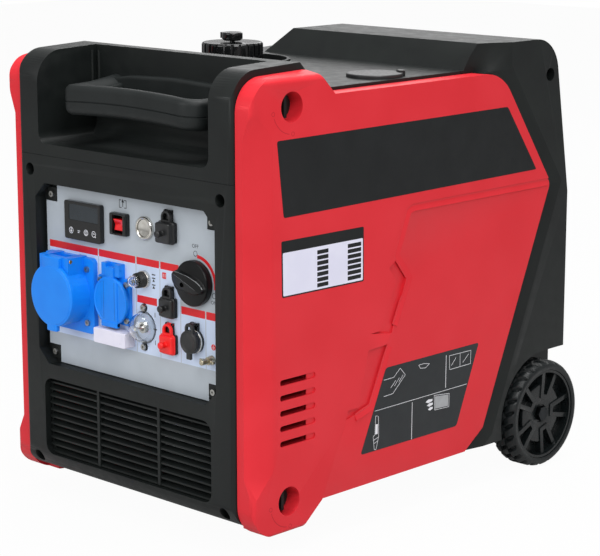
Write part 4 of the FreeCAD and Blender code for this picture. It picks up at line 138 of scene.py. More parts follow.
# each finish: the material's name, its two colours, roughness and its spread, mm across a cloud of colour,
# mm across a grain and its depth, index of refraction, specular level, metallic, and for large pieces the
# waviness in mm across and deep
finishRows = {
    # injection moulded ABS with a spark-eroded grain: an even satin colour that breaks up into fine sparkle.
    # Real grain is about 0.2 mm; it is drawn at 1.1 mm so that it shows
    "red_shell": ("mouldedRedAbs", "#D22630", "#D62B35", 0.45, 0.04, 60, 1.1, 0.055, 1.53, 0.22, 0, 120, 0.5),
    "black_shell": ("mouldedBlackAbs", "#111414", "#151918", 0.46, 0.05, 50, 1.1, 0.09, 1.53, 0.24, 0,
                    110, 0.4),
    # glass-filled nylon with a fine matt grain, dull where hands rub it
    "grip_plastic": ("gripNylon", "#141818", "#181C1C", 0.5, 0.05, 30, 0.9, 0.06, 1.53, 0.25, 0),
    # glass-filled polyamide as used for sockets: strong blue, satin, hardly any grain
    "blue_plastic": ("socketPolyamide", "#067EEA", "#0C84EE", 0.38, 0.04, 25, 1.4, 0.012, 1.53, 0.35, 0),
    # acrylic and polished ABS: deep black with sharp reflections
    "black_gloss": ("glossBlackAcrylic", "#08090A", "#0B0C0D", 0.14, 0.03, 20, 3, 0.004, 1.49, 0.5, 0),
    # tinted polycarbonate rocker: saturated red, glossy
    "red_key": ("tintedRedKey", "#E0141C", "#EA1E26", 0.22, 0.03, 8, 2, 0.004, 1.58, 0.5, 0),
    # moulded EPDM: nearly black, dull, with a faint dusty bloom
    "black_rubber": ("mouldedBlackRubber", "#121314", "#191A1B", 0.42, 0.07, 12, 0.8, 0.02, 1.52, 0.5, 0),
    "red_rubber": ("mouldedRedRubber", "#EA1214", "#F01A1A", 0.42, 0.06, 12, 0.8, 0.02, 1.52, 0.5, 0),
    # solid polyurethane tyre: black, a little shiny on the treads
    "tyre": ("tyreRubber", "#101415", "#15191A", 0.42, 0.08, 14, 1.0, 0.03, 1.52, 0.3, 0),
    # unpainted glossy polypropylene wheel centre
    "hub_plastic": ("hubPolypropylene", "#0E1213", "#121617", 0.3, 0.05, 18, 2.0, 0.01, 1.49, 0.35, 0),
    # milky acrylic lamp lens: even, pale and satin
    "white_lens": ("milkyAcrylic", "#DEDCEC", "#E4E2F0", 0.3, 0.03, 15, 2.0, 0.004, 1.49, 0.5, 0),
    # chromed brass: bright, with fine polishing haze
    "bright_metal": ("polishedChrome", "#D8D6D0", "#C6C3BC", 0.16, 0.05, 6, 0.8, 0.006, 1.5, 0.5, 1),
    # zinc-plated steel: grey metal with a soft spangle
    "steel": ("zincPlatedSteel", "#B4B4B0", "#9C9C99", 0.34, 0.07, 8, 0.7, 0.012, 1.5, 0.5, 1),
    # machined brass: warm and bright
    "brass": ("machinedBrass", "#C79A4A", "#B88A3E", 0.25, 0.05, 6, 0.7, 0.01, 1.5, 0.5, 1),
    # tin over brass, and phosphated steel that is nearly black
    "platedBrass": ("tinnedBrass", "#C4BCA6", "#A9A08A", 0.28, 0.06, 6, 0.7, 0.012, 1.5, 0.5, 1),
    "blackSteel": ("phosphatedSteel", "#2B2E30", "#212426", 0.36, 0.07, 8, 0.8, 0.02, 1.5, 0.5, 1),
    # sand-cast aluminium: pale grey metal with a coarse skin
    "cast_metal": ("castAluminium", "#9FA2A4", "#888B8E", 0.52, 0.08, 20, 1.6, 0.18, 1.5, 0.5, 1),
    # stacked electrical steel: dark grey, slightly oily
    "iron": ("laminatedSteel", "#55585A", "#47494B", 0.4, 0.08, 15, 0.6, 0.05, 1.5, 0.5, 1),
    # heat-resistant matt paint: flat and slightly chalky
    "heat_steel": ("heatPaint", "#2A2A29", "#343331", 0.72, 0.06, 20, 1.2, 0.05, 1.5, 0.5, 0),
    # stoved enamel on the tank: black and fairly glossy
    "tank_metal": ("stovedEnamel", "#17191A", "#1C1E1F", 0.3, 0.05, 30, 2.5, 0.02, 1.5, 0.5, 0),
    # printed vinyl film: flat colour with a soft sheen and a trace of orange peel
    "blackVinyl": ("blackVinyl", "#17191A", "#1B1D1E", 0.5, 0.05, 30, 1.3, 0.03, 1.5, 0.2, 0),
    "greyVinyl": ("greyVinyl", "#2A2D2F", "#2E3133", 0.5, 0.05, 30, 1.3, 0.02, 1.5, 0.2, 0),
    "whiteVinyl": ("whiteVinyl", "#D8D8EA", "#DEDEEE", 0.5, 0.04, 30, 1.5, 0.01, 1.5, 0.2, 0),
    # screen ink: thin, flat and slightly satin
    "blackInk": ("blackInk", "#17181A", "#1B1C1E", 0.5, 0.04, 10, 0.8, 0.005, 1.5, 0.5, 0),
    "redInk": ("redInk", "#D30C18", "#DA1420", 0.45, 0.04, 10, 0.8, 0.005, 1.5, 0.5, 0),
    "whiteInk": ("whiteInk", "#D9DADF", "#E2E3E8", 0.5, 0.04, 10, 0.8, 0.005, 1.5, 0.5, 0),
    "paleInk": ("paleGreyInk", "#9A9DA0", "#A2A5A8", 0.5, 0.04, 10, 0.8, 0.005, 1.5, 0.5, 0),
    # the same blue polyamide darkened as painted shade in the bottom of a groove, where little light comes
    "blueShade": ("socketPolyamidePaintedShade", "#0F4E9E", "#1356A8", 0.5, 0.04, 25, 1.4, 0.012, 1.53, 0.5, 0),
    # display glass: dark, smooth and sharp in its reflections
    "darkGlass": ("lcdGlass", "#1B2227", "#222A30", 0.16, 0.03, 30, 3, 0.003, 1.5, 0.5, 0),
    # moulded nylon knob: satin black; grey lines along its edges as painted highlights, and a near-black
    # hollow in its hole as painted shade
    "knobNylon": ("knobNylon", "#090A0B", "#0C0D0E", 0.36, 0.04, 12, 1.0, 0.012, 1.5, 0.22, 0),
    "greyEdge": ("paintedHighlightEdge", "#6A6E70", "#7A7E80", 0.4, 0.04, 10, 0.8, 0.005, 1.5, 0.5, 0),
    "voidBlack": ("paintedShadeHollow", "#020202", "#030303", 0.9, 0.03, 10, 1.0, 0.005, 1.5, 0.02, 0),
    # red ABS darkened as painted shade, in the engraved latch marks and on the walls inside the vent slots: a
    # deeper red without sheen
    "redMark": ("paintedShadeRedAbs", "#A81F28", "#AE222C", 0.55, 0.04, 60, 1.1, 0.03, 1.53, 0.15, 0)}
finishes = {slotName: solidFinish(*row) for slotName, row in finishRows.items()}

clearValues = {"name": "clearPolycarbonate", "colour": "#F4F7F8", "other": "#FFFFFF", "rough": 0.04,
               "ior": 1.585, "cloudMm": 20, "hazeMm": 10, "waveMm": 6, "waveDepthMm": 0.03}


def clearFinish():
    # clear moulded polycarbonate, the boot and the dome: glass-like, with a faint waviness from the mould
    c = clearValues
    material, tree, output, place = newMaterial(c["name"])
    shader = add(tree, "ShaderNodeBsdfPrincipled", {
        "Base Color": mottled(tree, place, c["colour"], c["other"], c["cloudMm"]),
        "Roughness": roughSpread(tree, place, c["rough"], c["rough"] / 2, c["hazeMm"]),
        "Normal": grainBump(tree, place, c["waveMm"], c["waveDepthMm"]),
        "Transmission Weight": 1.0, "IOR": c["ior"]})
    tree.links.new(shader.outputs["BSDF"], output.inputs["Surface"])
    return material


finishes["clear_plastic"] = clearFinish()

plateValues = {  # mm, from the middle of the plate across and from the floor up
    "whiteFields": [(-133, 77, 192, 289), (77, 133, 192, 246)],
    "redBars": [(-133, -52.5, 287.5, 295.3), (-50.7, 7.6, 287.5, 295.3), (10, 45, 287.5, 295.3),
                (47, 75, 287.5, 295.3), (10, 41, 246.5, 254.5), (78.4, 114, 244.5, 252.7),
                (115.8, 133.5, 244.5, 252.7)],
    "dividers": [(-52.1, -51.1, 192, 287.5), (8.3, 9.3, 192, 295.3), (45.5, 46.5, 192, 287.5),
                 (76.8, 77.8, 192, 252.7), (114.4, 115.4, 192, 252.7)],
    "silver": "#AAB2BA", "silverOther": "#AFB7BF", "white": "#C6D4EC", "red": "#D30C18", "line": "#AAB2BA",
    "cloudMm": 30, "rough": 0.42, "roughSpread": 0.04, "hazeMm": 12, "grainMm": 0.8, "grainDepthMm": 0.01}


def boxMask(tree, across, up, box):
    # 1 inside a rectangle of the plate and 0 outside it
    x0, x1, z0, z1 = [v / 1000 for v in box]
    parts = [("GREATER_THAN", across, x0), ("LESS_THAN", across, x1), ("GREATER_THAN", up, z0),
             ("LESS_THAN", up, z1)]
    tests = [add(tree, "ShaderNodeMath", {0: source, 1: value}, operation=way).outputs[0]
             for way, source, value in parts]
    first = add(tree, "ShaderNodeMath", {0: tests[0], 1: tests[1]}, operation="MULTIPLY").outputs[0]
    second = add(tree, "ShaderNodeMath", {0: first, 1: tests[2]}, operation="MULTIPLY").outputs[0]
    return add(tree, "ShaderNodeMath", {0: second, 1: tests[3]}, operation="MULTIPLY").outputs[0]


def plateFinish():
    # silver lacquered sheet steel, screen printed with white fields, red bars and grey dividers
    p = plateValues
    material, tree, output, place = newMaterial("printedLacquerPlate")
    split = add(tree, "ShaderNodeSeparateXYZ", {"Vector": place})
    across, up = split.outputs["X"], split.outputs["Z"]
    colour = mottled(tree, place, p["silver"], p["silverOther"], p["cloudMm"])
    for boxes, ink in (("whiteFields", "white"), ("redBars", "red"), ("dividers", "line")):
        for box in p[boxes]:
            colour = add(tree, "ShaderNodeMix", {0: boxMask(tree, across, up, box), 6: colour,
                                                 7: linear(p[ink])}, data_type="RGBA").outputs[2]
    shader = add(tree, "ShaderNodeBsdfPrincipled", {
        "Base Color": colour, "Roughness": roughSpread(tree, place, p["rough"], p["roughSpread"],
                                                       p["hazeMm"]),
        "Normal": grainBump(tree, place, p["grainMm"], p["grainDepthMm"])})
    tree.links.new(shader.outputs["BSDF"], output.inputs["Surface"])
    return material


finishes["plate_metal"] = plateFinish()

print("finishes made:", len(finishes))

slotOf = {}
for nodeName, piece in nodes.items():  # every CAD piece takes the finish of its own material slot
    slotOf[nodeName] = piece.data.materials[0].name.split(".")[0]
    for index, old in enumerate(piece.data.materials):
        slotName = old.name.split(".")[0]
        if slotName in finishes:
            piece.data.materials[index] = finishes[slotName]


def settle(name, mesh, node, sharp=32):
    # puts a finished mesh in the scene, riding with the body of the node that it belongs to
    mesh.update()
    mesh.validate()
    if sharp:
        mesh.shade_smooth()
        mesh.set_sharp_from_angle(angle=math.radians(sharp))
    piece = bpy.data.objects.new(name, mesh)
    bpy.context.scene.collection.objects.link(piece)
    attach(piece, nodes[node]["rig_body"])
    return piece


dressValues = {
    "mergeMm": 0.002, "flatAngle": 0.4, "sharpAngle": 32, "segments": 2,
    # mm of rounding on the moulded edges of each piece
    "edges": {
        "side_cover_right": 1.2, "side_cover_left": 1.2, "front_frame": 0.9, "handle_cover": 1.2,
        "rear_cover": 1.2, "top_cover": 0.9, "intake_grille": 0.5, "base_tray": 0.8, "industrial_socket": 0.7,
        "household_socket": 0.6, "panel_lamp": 1.0, "rocker_housing": 0.4, "rocker_key": 0.3,
        "display_unit": 0.6, "plug_access_cap": 0.6, "fuel_cap": 0.5, "vent_knob": 0.5,
        "latch_upper_right": 0.4, "latch_lower_right": 0.4, "latch_upper_left": 0.4, "latch_lower_left": 0.4,
        "hub_right": 0.5, "hub_left": 0.5},
    # pieces whose metal is plated or blackened
    "plated": {"axle": "blackSteel", "ground_stud": "platedBrass", "ground_nut": "platedBrass"},
    # pieces that are made anew further down
    "rebuilt": {
        "tyre_right", "tyre_left", "grip_upper", "grip_lower", "household_lid", "industrial_lid",
        "dc_socket_cap", "black_socket_cap", "red_socket_cap", "aux_socket_cap", "start_button",
        "breaker_boot", "selector_knob"}}


def dressed(node):
    # a merged copy of a CAD piece: doubles joined, flat triangles dissolved, edges rounded by a modifier
    d = dressValues
    work = bmesh.new()
    work.from_mesh(nodes[node].data)
    bmesh.ops.remove_doubles(work, verts=work.verts, dist=d["mergeMm"] / 1000)
    bmesh.ops.dissolve_limit(work, angle_limit=math.radians(d["flatAngle"]), verts=work.verts,
                             edges=work.edges)
    mesh = bpy.data.meshes.new(node + "_skin")
    work.to_mesh(mesh)
    work.free()
    mesh.materials.append(finishes[d["plated"].get(node, slotOf[node])])
    piece = settle(node + "_skin", mesh, node, d["sharpAngle"])
    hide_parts(node)
    if node in d["edges"]:
        bevel = piece.modifiers.new("edges", "BEVEL")
        bevel.width = d["edges"][node] / 1000
        bevel.segments = d["segments"]
        bevel.limit_method = "ANGLE"
        bevel.angle_limit = math.radians(d["sharpAngle"])
        bevel.harden_normals = True
        bevel.use_clamp_overlap = True


for node in dressValues["edges"]:
    dressed(node)
for node in nodes:  # the rest only gets smooth shading on its round faces
    if node not in dressValues["edges"] and node not in dressValues["rebuilt"]:
        dressed(node)
print("pieces dressed")


def rounded(corners, radius, steps=6):
    # a polygon with soft corners, each B(t) = start (1 - t)^2 + 2 corner t (1 - t) + end t^2
    corner = np.array(corners, float)
    size = np.broadcast_to(np.array(radius, float), len(corner))[:, None]
    back, ahead = np.roll(corner, 1, 0) - corner, np.roll(corner, -1, 0) - corner
    start = corner + back / np.linalg.norm(back, axis=1, keepdims=True) * size
    end = corner + ahead / np.linalg.norm(ahead, axis=1, keepdims=True) * size
    t = np.linspace(0, 1, steps)[None, :, None]
    curve = start[:, None] * (1 - t) ** 2 + 2 * corner[:, None] * t * (1 - t) + end[:, None] * t ** 2
    return curve.reshape(-1, 2)


def oblong(left, right, low, high):
    # the four corners of an upright rectangle
    return [(left, low), (right, low), (right, high), (left, high)]


def circle(centre, radius, steps=28):
    # points at even angles round a centre
    angle = np.linspace(0, 2 * np.pi, steps, endpoint=False)
    return np.stack([centre[0] + radius * np.cos(angle), centre[1] + radius * np.sin(angle)], 1)


def bar(start, end, wide):
    # a straight stroke between two points as a narrow rectangle
    a, b = np.array(start, float), np.array(end, float)
    side = np.array([a[1] - b[1], b[0] - a[0]]) / np.linalg.norm(b - a) * wide / 2
    return np.stack([a + side, b + side, b - side, a - side])


def arch(x, low, high, half, steps=13):
    # an upright loop's outline: straight sides from low, with a round top that ends at high
    angle = np.linspace(0, np.pi, steps)
    top = np.stack([x + half * np.cos(angle), high - half + half * np.sin(angle)], 1)
    return np.vstack([[(x + half, low)], top, [(x - half, low)]])


def gridFaces(rows, columns, closeRows=False, closeColumns=True, capEnds=False):
    # four-sided faces over a grid of rows x columns points, joined round where it closes on itself
    index = np.arange(rows * columns).reshape(rows, columns)
    if closeRows:
        index = np.vstack([index, index[:1]])
    if closeColumns:
        index = np.hstack([index, index[:, :1]])
    quads = np.stack([index[:-1, :-1], index[1:, :-1], index[1:, 1:], index[:-1, 1:]], -1).reshape(-1, 4)
    faces = quads.tolist()
    if capEnds:
        faces += [np.arange(columns)[::-1].tolist(), (np.arange(columns) + (rows - 1) * columns).tolist()]
    return faces


def onPlane(plane, points, depth):
    # flat points in mm on a face of the case: front looks along y, side along x
    u, v = np.asarray(points, float).T
    w = np.full(len(u), depth) if np.isscalar(depth) else np.asarray(depth, float)
    stack = {"front": (u, w - middleY, v), "side": (w, u - middleY, v)}[plane]
    return np.stack(stack, 1) / 1000


def mirrored(part, side):
    # the same part on the right side of the case (1) or on the left (-1)
    points, faces = part
    return points * (side, 1, 1), faces


def slab(plane, outline, low, high):
    # an outline drawn out between two depths: two flat faces and the wall round them
    points = np.vstack([onPlane(plane, outline, low), onPlane(plane, outline, high)])
    return points, gridFaces(2, len(outline), capEnds=True)


def ringSlab(plane, centre, outer, inner, low, high, fromAngle=0.0, toAngle=360.0, steps=40):
    # a flat ring, or part of one: a small rectangle carried round the centre
    whole = abs(toAngle - fromAngle) >= 360
    angle = np.radians(np.linspace(fromAngle, toAngle, steps, endpoint=not whole))
    radius = np.array([outer, inner, inner, outer])
    depth = np.array([low, low, high, high])
    flat = np.stack([centre[0] + radius * np.cos(angle)[:, None],
                     centre[1] + radius * np.sin(angle)[:, None]], -1)
    points = onPlane(plane, flat.reshape(-1, 2), np.tile(depth, len(angle)))
    return points, gridFaces(len(angle), 4, closeRows=whole, capEnds=not whole)


def softSlab(plane, outline, rings):
    # an outline carried through rings of (inset, depth): P(u, v) = outline(u) + inset(v) n(u), with n(u) the
    # inward normal of the outline at u; both ends are closed by a flat face
    outline = np.asarray(outline, float)
    ahead, back = np.roll(outline, -1, 0) - outline, outline - np.roll(outline, 1, 0)
    edge = (ahead / np.linalg.norm(ahead, axis=1, keepdims=True)
            + back / np.linalg.norm(back, axis=1, keepdims=True))
    turn = np.sign(np.sum(outline[:, 0] * np.roll(outline[:, 1], -1)
                          - np.roll(outline[:, 0], -1) * outline[:, 1]))
    inward = turn * np.stack([-edge[:, 1], edge[:, 0]], 1) / np.linalg.norm(edge, axis=1, keepdims=True)
    points = np.vstack([onPlane(plane, outline + inset * inward, depth) for inset, depth in rings])
    return points, gridFaces(len(rings), len(outline), capEnds=True)


def roundOver(back, face, radius, steps=4):
    # a straight wall whose outer edge is rounded: inset r (1 - cos t), depth face + r (1 - sin t)
    t = np.linspace(0, np.pi / 2, steps)
    return [(0, back)] + [(radius * (1 - math.cos(a)), face + radius * (1 - math.sin(a))) for a in t]


def softRing(plane, outer, inner, back, face, radius):
    # a frame between two outlines of equal point counts, its face edges rounded over: the section is carried
    # round both outlines at once, P(u, v) = outer(u) + share(v) (inner(u) - outer(u)) at depth(v)
    outer, inner = np.asarray(outer, float), np.asarray(inner, float)
    wide = np.linalg.norm(outer - inner, axis=1).mean()
    t = np.linspace(0, np.pi / 2, 4)
    share = np.concatenate([[0], radius * (1 - np.cos(t)) / wide, 1 - radius * (1 - np.cos(t[::-1])) / wide,
                            [1]])
    depth = np.concatenate([[back], face + radius * (1 - np.sin(t)), face + radius * (1 - np.sin(t[::-1])),
                            [back]])
    points = np.vstack([onPlane(plane, outer + s * (inner - outer), d) for s, d in zip(share, depth)])
    return points, gridFaces(len(share), len(outer), closeRows=True)


def spun(plane, centre, profile, steps=48, closed=False):
    # a profile of (radius, depth) turned round an axis through centre: P(a, v) = centre + r(v)(cos a, sin a)
    points = np.vstack([onPlane(plane, circle(centre, radius, steps), depth) for radius, depth in profile])
    return points, gridFaces(len(profile), steps, closeRows=closed, capEnds=not closed)


def block(left, right, face, back, low, high, radius=0.8, softest=0.8):
    # a moulded block with soft front and side edges, drawn along the depth
    outline = rounded(oblong(left, right, low, high), radius, 4)
    return softSlab("front", outline, roundOver(back, face, min(radius, softest)))


def across(centre, radius, start, end, steps=20, bevel=0.3):
    # a round pin along x with bevelled ends; centre is (depth, height) in mm
    angle = np.linspace(0, 2 * np.pi, steps, endpoint=False)
    small = 0.85 * radius
    rings = [(small, start), (radius, start + bevel), (radius, end - bevel), (small, end)]
    points = np.vstack([np.stack([np.full(steps, x), centre[0] + r * np.cos(angle) - middleY,
                                  centre[1] + r * np.sin(angle)], 1) for r, x in rings]) / 1000
    return points, gridFaces(len(rings), steps, capEnds=True)


def addPiece(name, node, finish, parts, sharp=32):
    # several point arrays with their faces in one mesh, with every face turned outwards
    counts = np.cumsum([0] + [len(points) for points, faces in parts])
    allPoints = np.vstack([points for points, faces in parts])
    allFaces = [[int(i + base) for i in face] for base, (points, faces) in zip(counts, parts)
                for face in faces]
    mesh = bpy.data.meshes.new(name)
    mesh.from_pydata(allPoints, [], allFaces)
    work = bmesh.new()
    work.from_mesh(mesh)
    bmesh.ops.recalc_face_normals(work, faces=work.faces)
    work.to_mesh(mesh)
    work.free()
    mesh.materials.append(finishes[finish])
    return settle(name, mesh, node, sharp)


def rebuildPiece(name, node, finish, parts, sharp=32):
    # a piece that stands in the picture for the CAD's own solid
    piece = addPiece(name, node, finish, parts, sharp)
    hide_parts(node)
    return piece


# prints: the plate's face and the skins of the side covers in mm, with the thickness of ink and film on them
printValues = {"plate": 12.0, "ink": 0.06, "bite": 0.01, "overInk": 0.05, "panel": 188.4, "skin": 190.0,
               "sideFilm": 0.12, "under": 0.1}
inkDepths = (printValues["plate"] - printValues["ink"], printValues["plate"] - printValues["bite"])
overInkDepths = (inkDepths[0] - printValues["overInk"], inkDepths[0] - printValues["bite"] / 2)

# ink on the plate: strokes (start, end, width), filled shapes, rings (centre, outer and inner radius,
# angles). Black draws the frame and arrow over the rocker, the switch marks, the lines by the breaker and
# the scale's two circles; red the selector's scale, the square by the black terminal and the earth mark's
# disc; white the marks on the red
inkValues = {
    "black": {
        "strokes": [((-16, 353), (-16, 345), 0.8), ((-16.4, 345), (-12.5, 345), 0.8),
                    ((-8.5, 345), (-4.6, 345), 0.8), ((-5, 345), (-5, 353), 0.8),
                    ((-16.4, 353), (-12.8, 353), 0.8), ((-8.2, 353), (-4.6, 353), 0.8),
                    ((-10.5, 346), (-10.5, 353.5), 1.0), ((-26.6, 322.6), (-24, 322.6), 1.1),
                    ((33.6, 279.5), (39, 279.5), 1.2), ((33.6, 275.8), (39, 275.8), 1.2),
                    ((33.6, 268.6), (39, 268.6), 1.2), ((37.6, 234), (37.6, 239), 0.8),
                    ((37.6, 204), (37.6, 209), 0.8), ((34.6, 221), (40.4, 221), 1.2)],
        "shapes": [[(-12.7, 350.6), (-8.3, 350.6), (-10.5, 354.4)],
                   [(34.4, 272), (38.2, 272), (36.3, 274.8)], [(34.2, 264.6), (38.4, 264.6), (36.3, 267.8)]],
        "rings": [((-25.6, 331.8), 1.7, 0.9), ((100.5, 311), 3, 2.4), ((127.8, 270.7), 3, 2.4)]},
    "red": {
        "strokes": [], "shapes": [rounded(oblong(49.8, 55.8, 277.8, 284.4), 0.8), circle((126, 216.8), 3.2)],
        "rings": [((102.2, 281), 29.2, 25.6, -9, 88)]},
    "white": {
        "strokes": [((126, 219.2), (126, 216.9), 0.45), ((123.9, 216.9), (128.1, 216.9), 0.45),
                    ((124.6, 215.7), (127.4, 215.7), 0.45), ((125.3, 214.6), (126.7, 214.6), 0.45),
                    ((51.4, 283), (51.4, 279.2), 0.7), ((54.2, 283), (54.2, 279.2), 0.7)],
        "shapes": [], "rings": []}}
for ink, rows in inkValues.items():
    low, high = overInkDepths if ink == "white" else inkDepths
    parts = [slab("front", bar(*row), low, high) for row in rows["strokes"]]
    parts += [slab("front", shape, low, high) for shape in rows["shapes"]]
    parts += [ringSlab("front", *row[:3], low, high, *row[3:]) for row in rows["rings"]]
    addPiece(f"plate_{ink}_ink", "control_plate", ink + "Ink", parts, 0)


def lettering(name, word, centre, height, extrudeMm=0.02):
    # a generic word on the plate: a text curve made a mesh, then laid on the plate's face in mm
    curve = bpy.data.curves.new(name, "FONT")
    curve.body = word
    curve.align_x, curve.align_y = "CENTER", "CENTER"
    curve.size = height
    curve.extrude = extrudeMm
    holder = bpy.data.objects.new(name + "Text", curve)
    bpy.context.scene.collection.objects.link(holder)
    bpy.context.view_layer.update()
    mesh = bpy.data.meshes.new_from_object(holder.evaluated_get(bpy.context.evaluated_depsgraph_get()))
    bpy.data.objects.remove(holder)
    flat = np.zeros(len(mesh.vertices) * 3)
    mesh.vertices.foreach_get("co", flat)
    flat = flat.reshape(-1, 3)
    laid = onPlane("front", flat[:, :2] + np.array(centre), inkDepths[0] - flat[:, 2])
    mesh.vertices.foreach_set("co", laid.ravel())
    mesh.materials.clear()
    mesh.materials.append(finishes["blackInk"])
    settle(name, mesh, "control_plate", 0)


lettering("selector_off_word", "OFF", (100.5, 318.6), 5.6)
lettering("selector_on_word", "ON", (127.2, 263.4), 5.2)
print("plate printed")

# side films on both covers: a long black band, a white plate with a black head and a grey slanted plate
filmValues = {
    "band": rounded([(40, 432.5), (49.5, 354), (463, 357), (408, 433.5)], 3),
    "plate": rounded([(46, 330.6), (169, 329.7), (169.5, 271.4), (47, 272.5)], 2),
    "plateField": rounded([(48.0, 318.5), (167.6, 317.7), (168.0, 272.9), (48.6, 274.0)], 1.5),
    "slanted": rounded([(208, 170), (366, 170), (328.5, 80), (168, 81)], 4), "fieldLift": 0.05}
hands = ((1, "right"), (-1, "left"))
skin, panel = printValues["skin"], printValues["panel"]
skinTop, panelTop = skin + printValues["sideFilm"], panel + printValues["sideFilm"]


def sideShapes(name, hand, side, finish, outlines, low, high):
    # flat shapes on one side cover, between two distances from the middle of the case
    parts = [mirrored(slab("side", outline, low, high), side) for outline in outlines]
    addPiece(f"{name}_{hand}", f"side_cover_{hand}", finish, parts, 0)


for side, hand in hands:
    f, under = filmValues, printValues["under"]
    sideShapes("black_films", hand, side, "blackVinyl", [f["band"], f["plate"]], skin - under, skinTop)
    sideShapes("grey_film", hand, side, "greyVinyl", [f["slanted"]], panel - under, panelTop)
    sideShapes("white_film", hand, side, "whiteVinyl", [f["plateField"]], skin, skinTop + f["fieldLift"])
print("films laid")

# household lid: a disc with a raised rim, a centre band with two grooves, a wide tab and the hinge knuckle
homeLid = {"centre": (-22.7, 244), "radius": 26.5, "back": 4.5, "face": 1.3, "rim": 1.8, "slope": 0.7,
           "sink": 0.5, "bandHalf": 12.6, "bandFace": 0.6, "bandLow": 28.3, "shoulder": 20, "neckHalf": 9,
           "neckTop": 25.5, "tabHigh": 6, "tabFace": -0.1, "hinge": (5.5, 278), "knuckleHalf": 6.5,
           "knuckleHigh": 2.4, "knuckleR": 3.0, "pinHalf": 13.4, "pinR": 1.2, "grooveAt": 8.6,
           "grooveWide": 0.55, "grooveEnds": (-20, 21), "grooveDepths": (0.55, 1.4),
           "dish": ((8, 0.1), (20, 0.25)), "knuckleLow": 22}


def homeLidParts():
    # the rim steps down to a floor that swells a little towards the middle; band and tab lie on it
    g, (x, z) = homeLid, homeLid["centre"]
    back, face, half, low = g["back"], g["face"], g["bandHalf"], z - g["bandLow"]
    floor = face + g["sink"]
    discRings = roundOver(back, face, 1.0) + [(g["rim"], face), (g["rim"] + g["slope"], floor)]
    discRings += [(inset, floor - swell) for inset, swell in g["dish"]]
    band = [(x - half, low), (x + half, low), (x + half, z + g["shoulder"]),
            (x + g["neckHalf"], z + g["neckTop"]), (x - g["neckHalf"], z + g["neckTop"]),
            (x - half, z + g["shoulder"])]
    tab = oblong(x - half, x + half, low, low + g["tabHigh"])
    knuckle = g["knuckleHalf"]
    return [softSlab("front", circle((x, z), g["radius"], 96), discRings),
            softSlab("front", rounded(band, (1.5, 1.5, 2, 1, 1, 2), 4), roundOver(back, g["bandFace"], 0.7)),
            softSlab("front", rounded(tab, 1.2, 4), roundOver(back, g["tabFace"], 0.8)),
            block(x - knuckle, x + knuckle, face, g["hinge"][0], z + g["knuckleLow"],
                  g["hinge"][1] + g["knuckleHigh"]),
            across(g["hinge"], g["knuckleR"], x - knuckle - 0.2, x + knuckle + 0.2),
            across(g["hinge"], g["pinR"], x - g["pinHalf"], x + g["pinHalf"])]


rebuildPiece("household_lid_skin", "household_lid", "blue_plastic", homeLidParts())
x, z = homeLid["centre"]
low, high = homeLid["grooveEnds"]
# the lid's two grooves are drawn as darker blue strips: painted shade in their bottoms
grooves = [slab("front", bar((x + at, z + low), (x + at, z + high), homeLid["grooveWide"]),
                *homeLid["grooveDepths"]) for at in (-homeLid["grooveAt"], homeLid["grooveAt"])]
addPiece("household_lid_grooves", "household_lid", "blueShade", grooves, 0)

# industrial lid: a thick disc with a stepped face, its neck, web and knuckle, and a finger tab below
bigLid = {"centre": (-94, 242.5), "radius": 34.5, "back": -15.7, "face": -20.6, "step": 0.7, "stepIn": 1.9,
          "hinge": (-11.4, 281.4), "knuckleHalf": 13.5, "knuckleR": 4.0, "neckBack": -8.0, "pinHalf": 22.5,
          "pinR": 2.0, "pinEnd": (22.4, 24.2), "tabHalf": 8, "tab": (39.4, 30), "tabSoft": 1.6,
          "neckLow": 30, "neckHigh": 3.6, "neckSoft": 1.4, "lift": 0.4, "flat": 22}


def bigLidParts():
    # the face rises by step at stepIn from the edge; neck and knuckle stand above it, the tab below
    g, (x, z), face, half = bigLid, bigLid["centre"], bigLid["face"], bigLid["knuckleHalf"]
    low, inset = face + g["step"], g["stepIn"]
    rings = roundOver(g["back"], low, 0.8) + [(inset, low), (inset + 0.6, face + 0.05), (inset + 1.2, face),
                                              (g["flat"], face)]
    return [softSlab("front", circle((x, z), g["radius"], 120), rings),
            block(x - half, x + half, face + g["lift"], g["neckBack"], z + g["neckLow"],
                  g["hinge"][1] + g["neckHigh"], g["neckSoft"]),
            across(g["hinge"], g["knuckleR"], x - half, x + half),
            across(g["hinge"], g["pinR"], x - g["pinHalf"], x + g["pinHalf"]),
            block(x - g["tabHalf"], x + g["tabHalf"], face + g["lift"] / 2, g["back"], z - g["tab"][0],
                  z - g["tab"][1], g["tabSoft"])]


rebuildPiece("industrial_lid_skin", "industrial_lid", "blue_plastic", bigLidParts())
start, end = (bigLid["centre"][0] + reach for reach in bigLid["pinEnd"])
addPiece("hinge_pin_end", "industrial_lid", "brass",
         [across(bigLid["hinge"], bigLid["pinR"] + 0.1, start, end)])

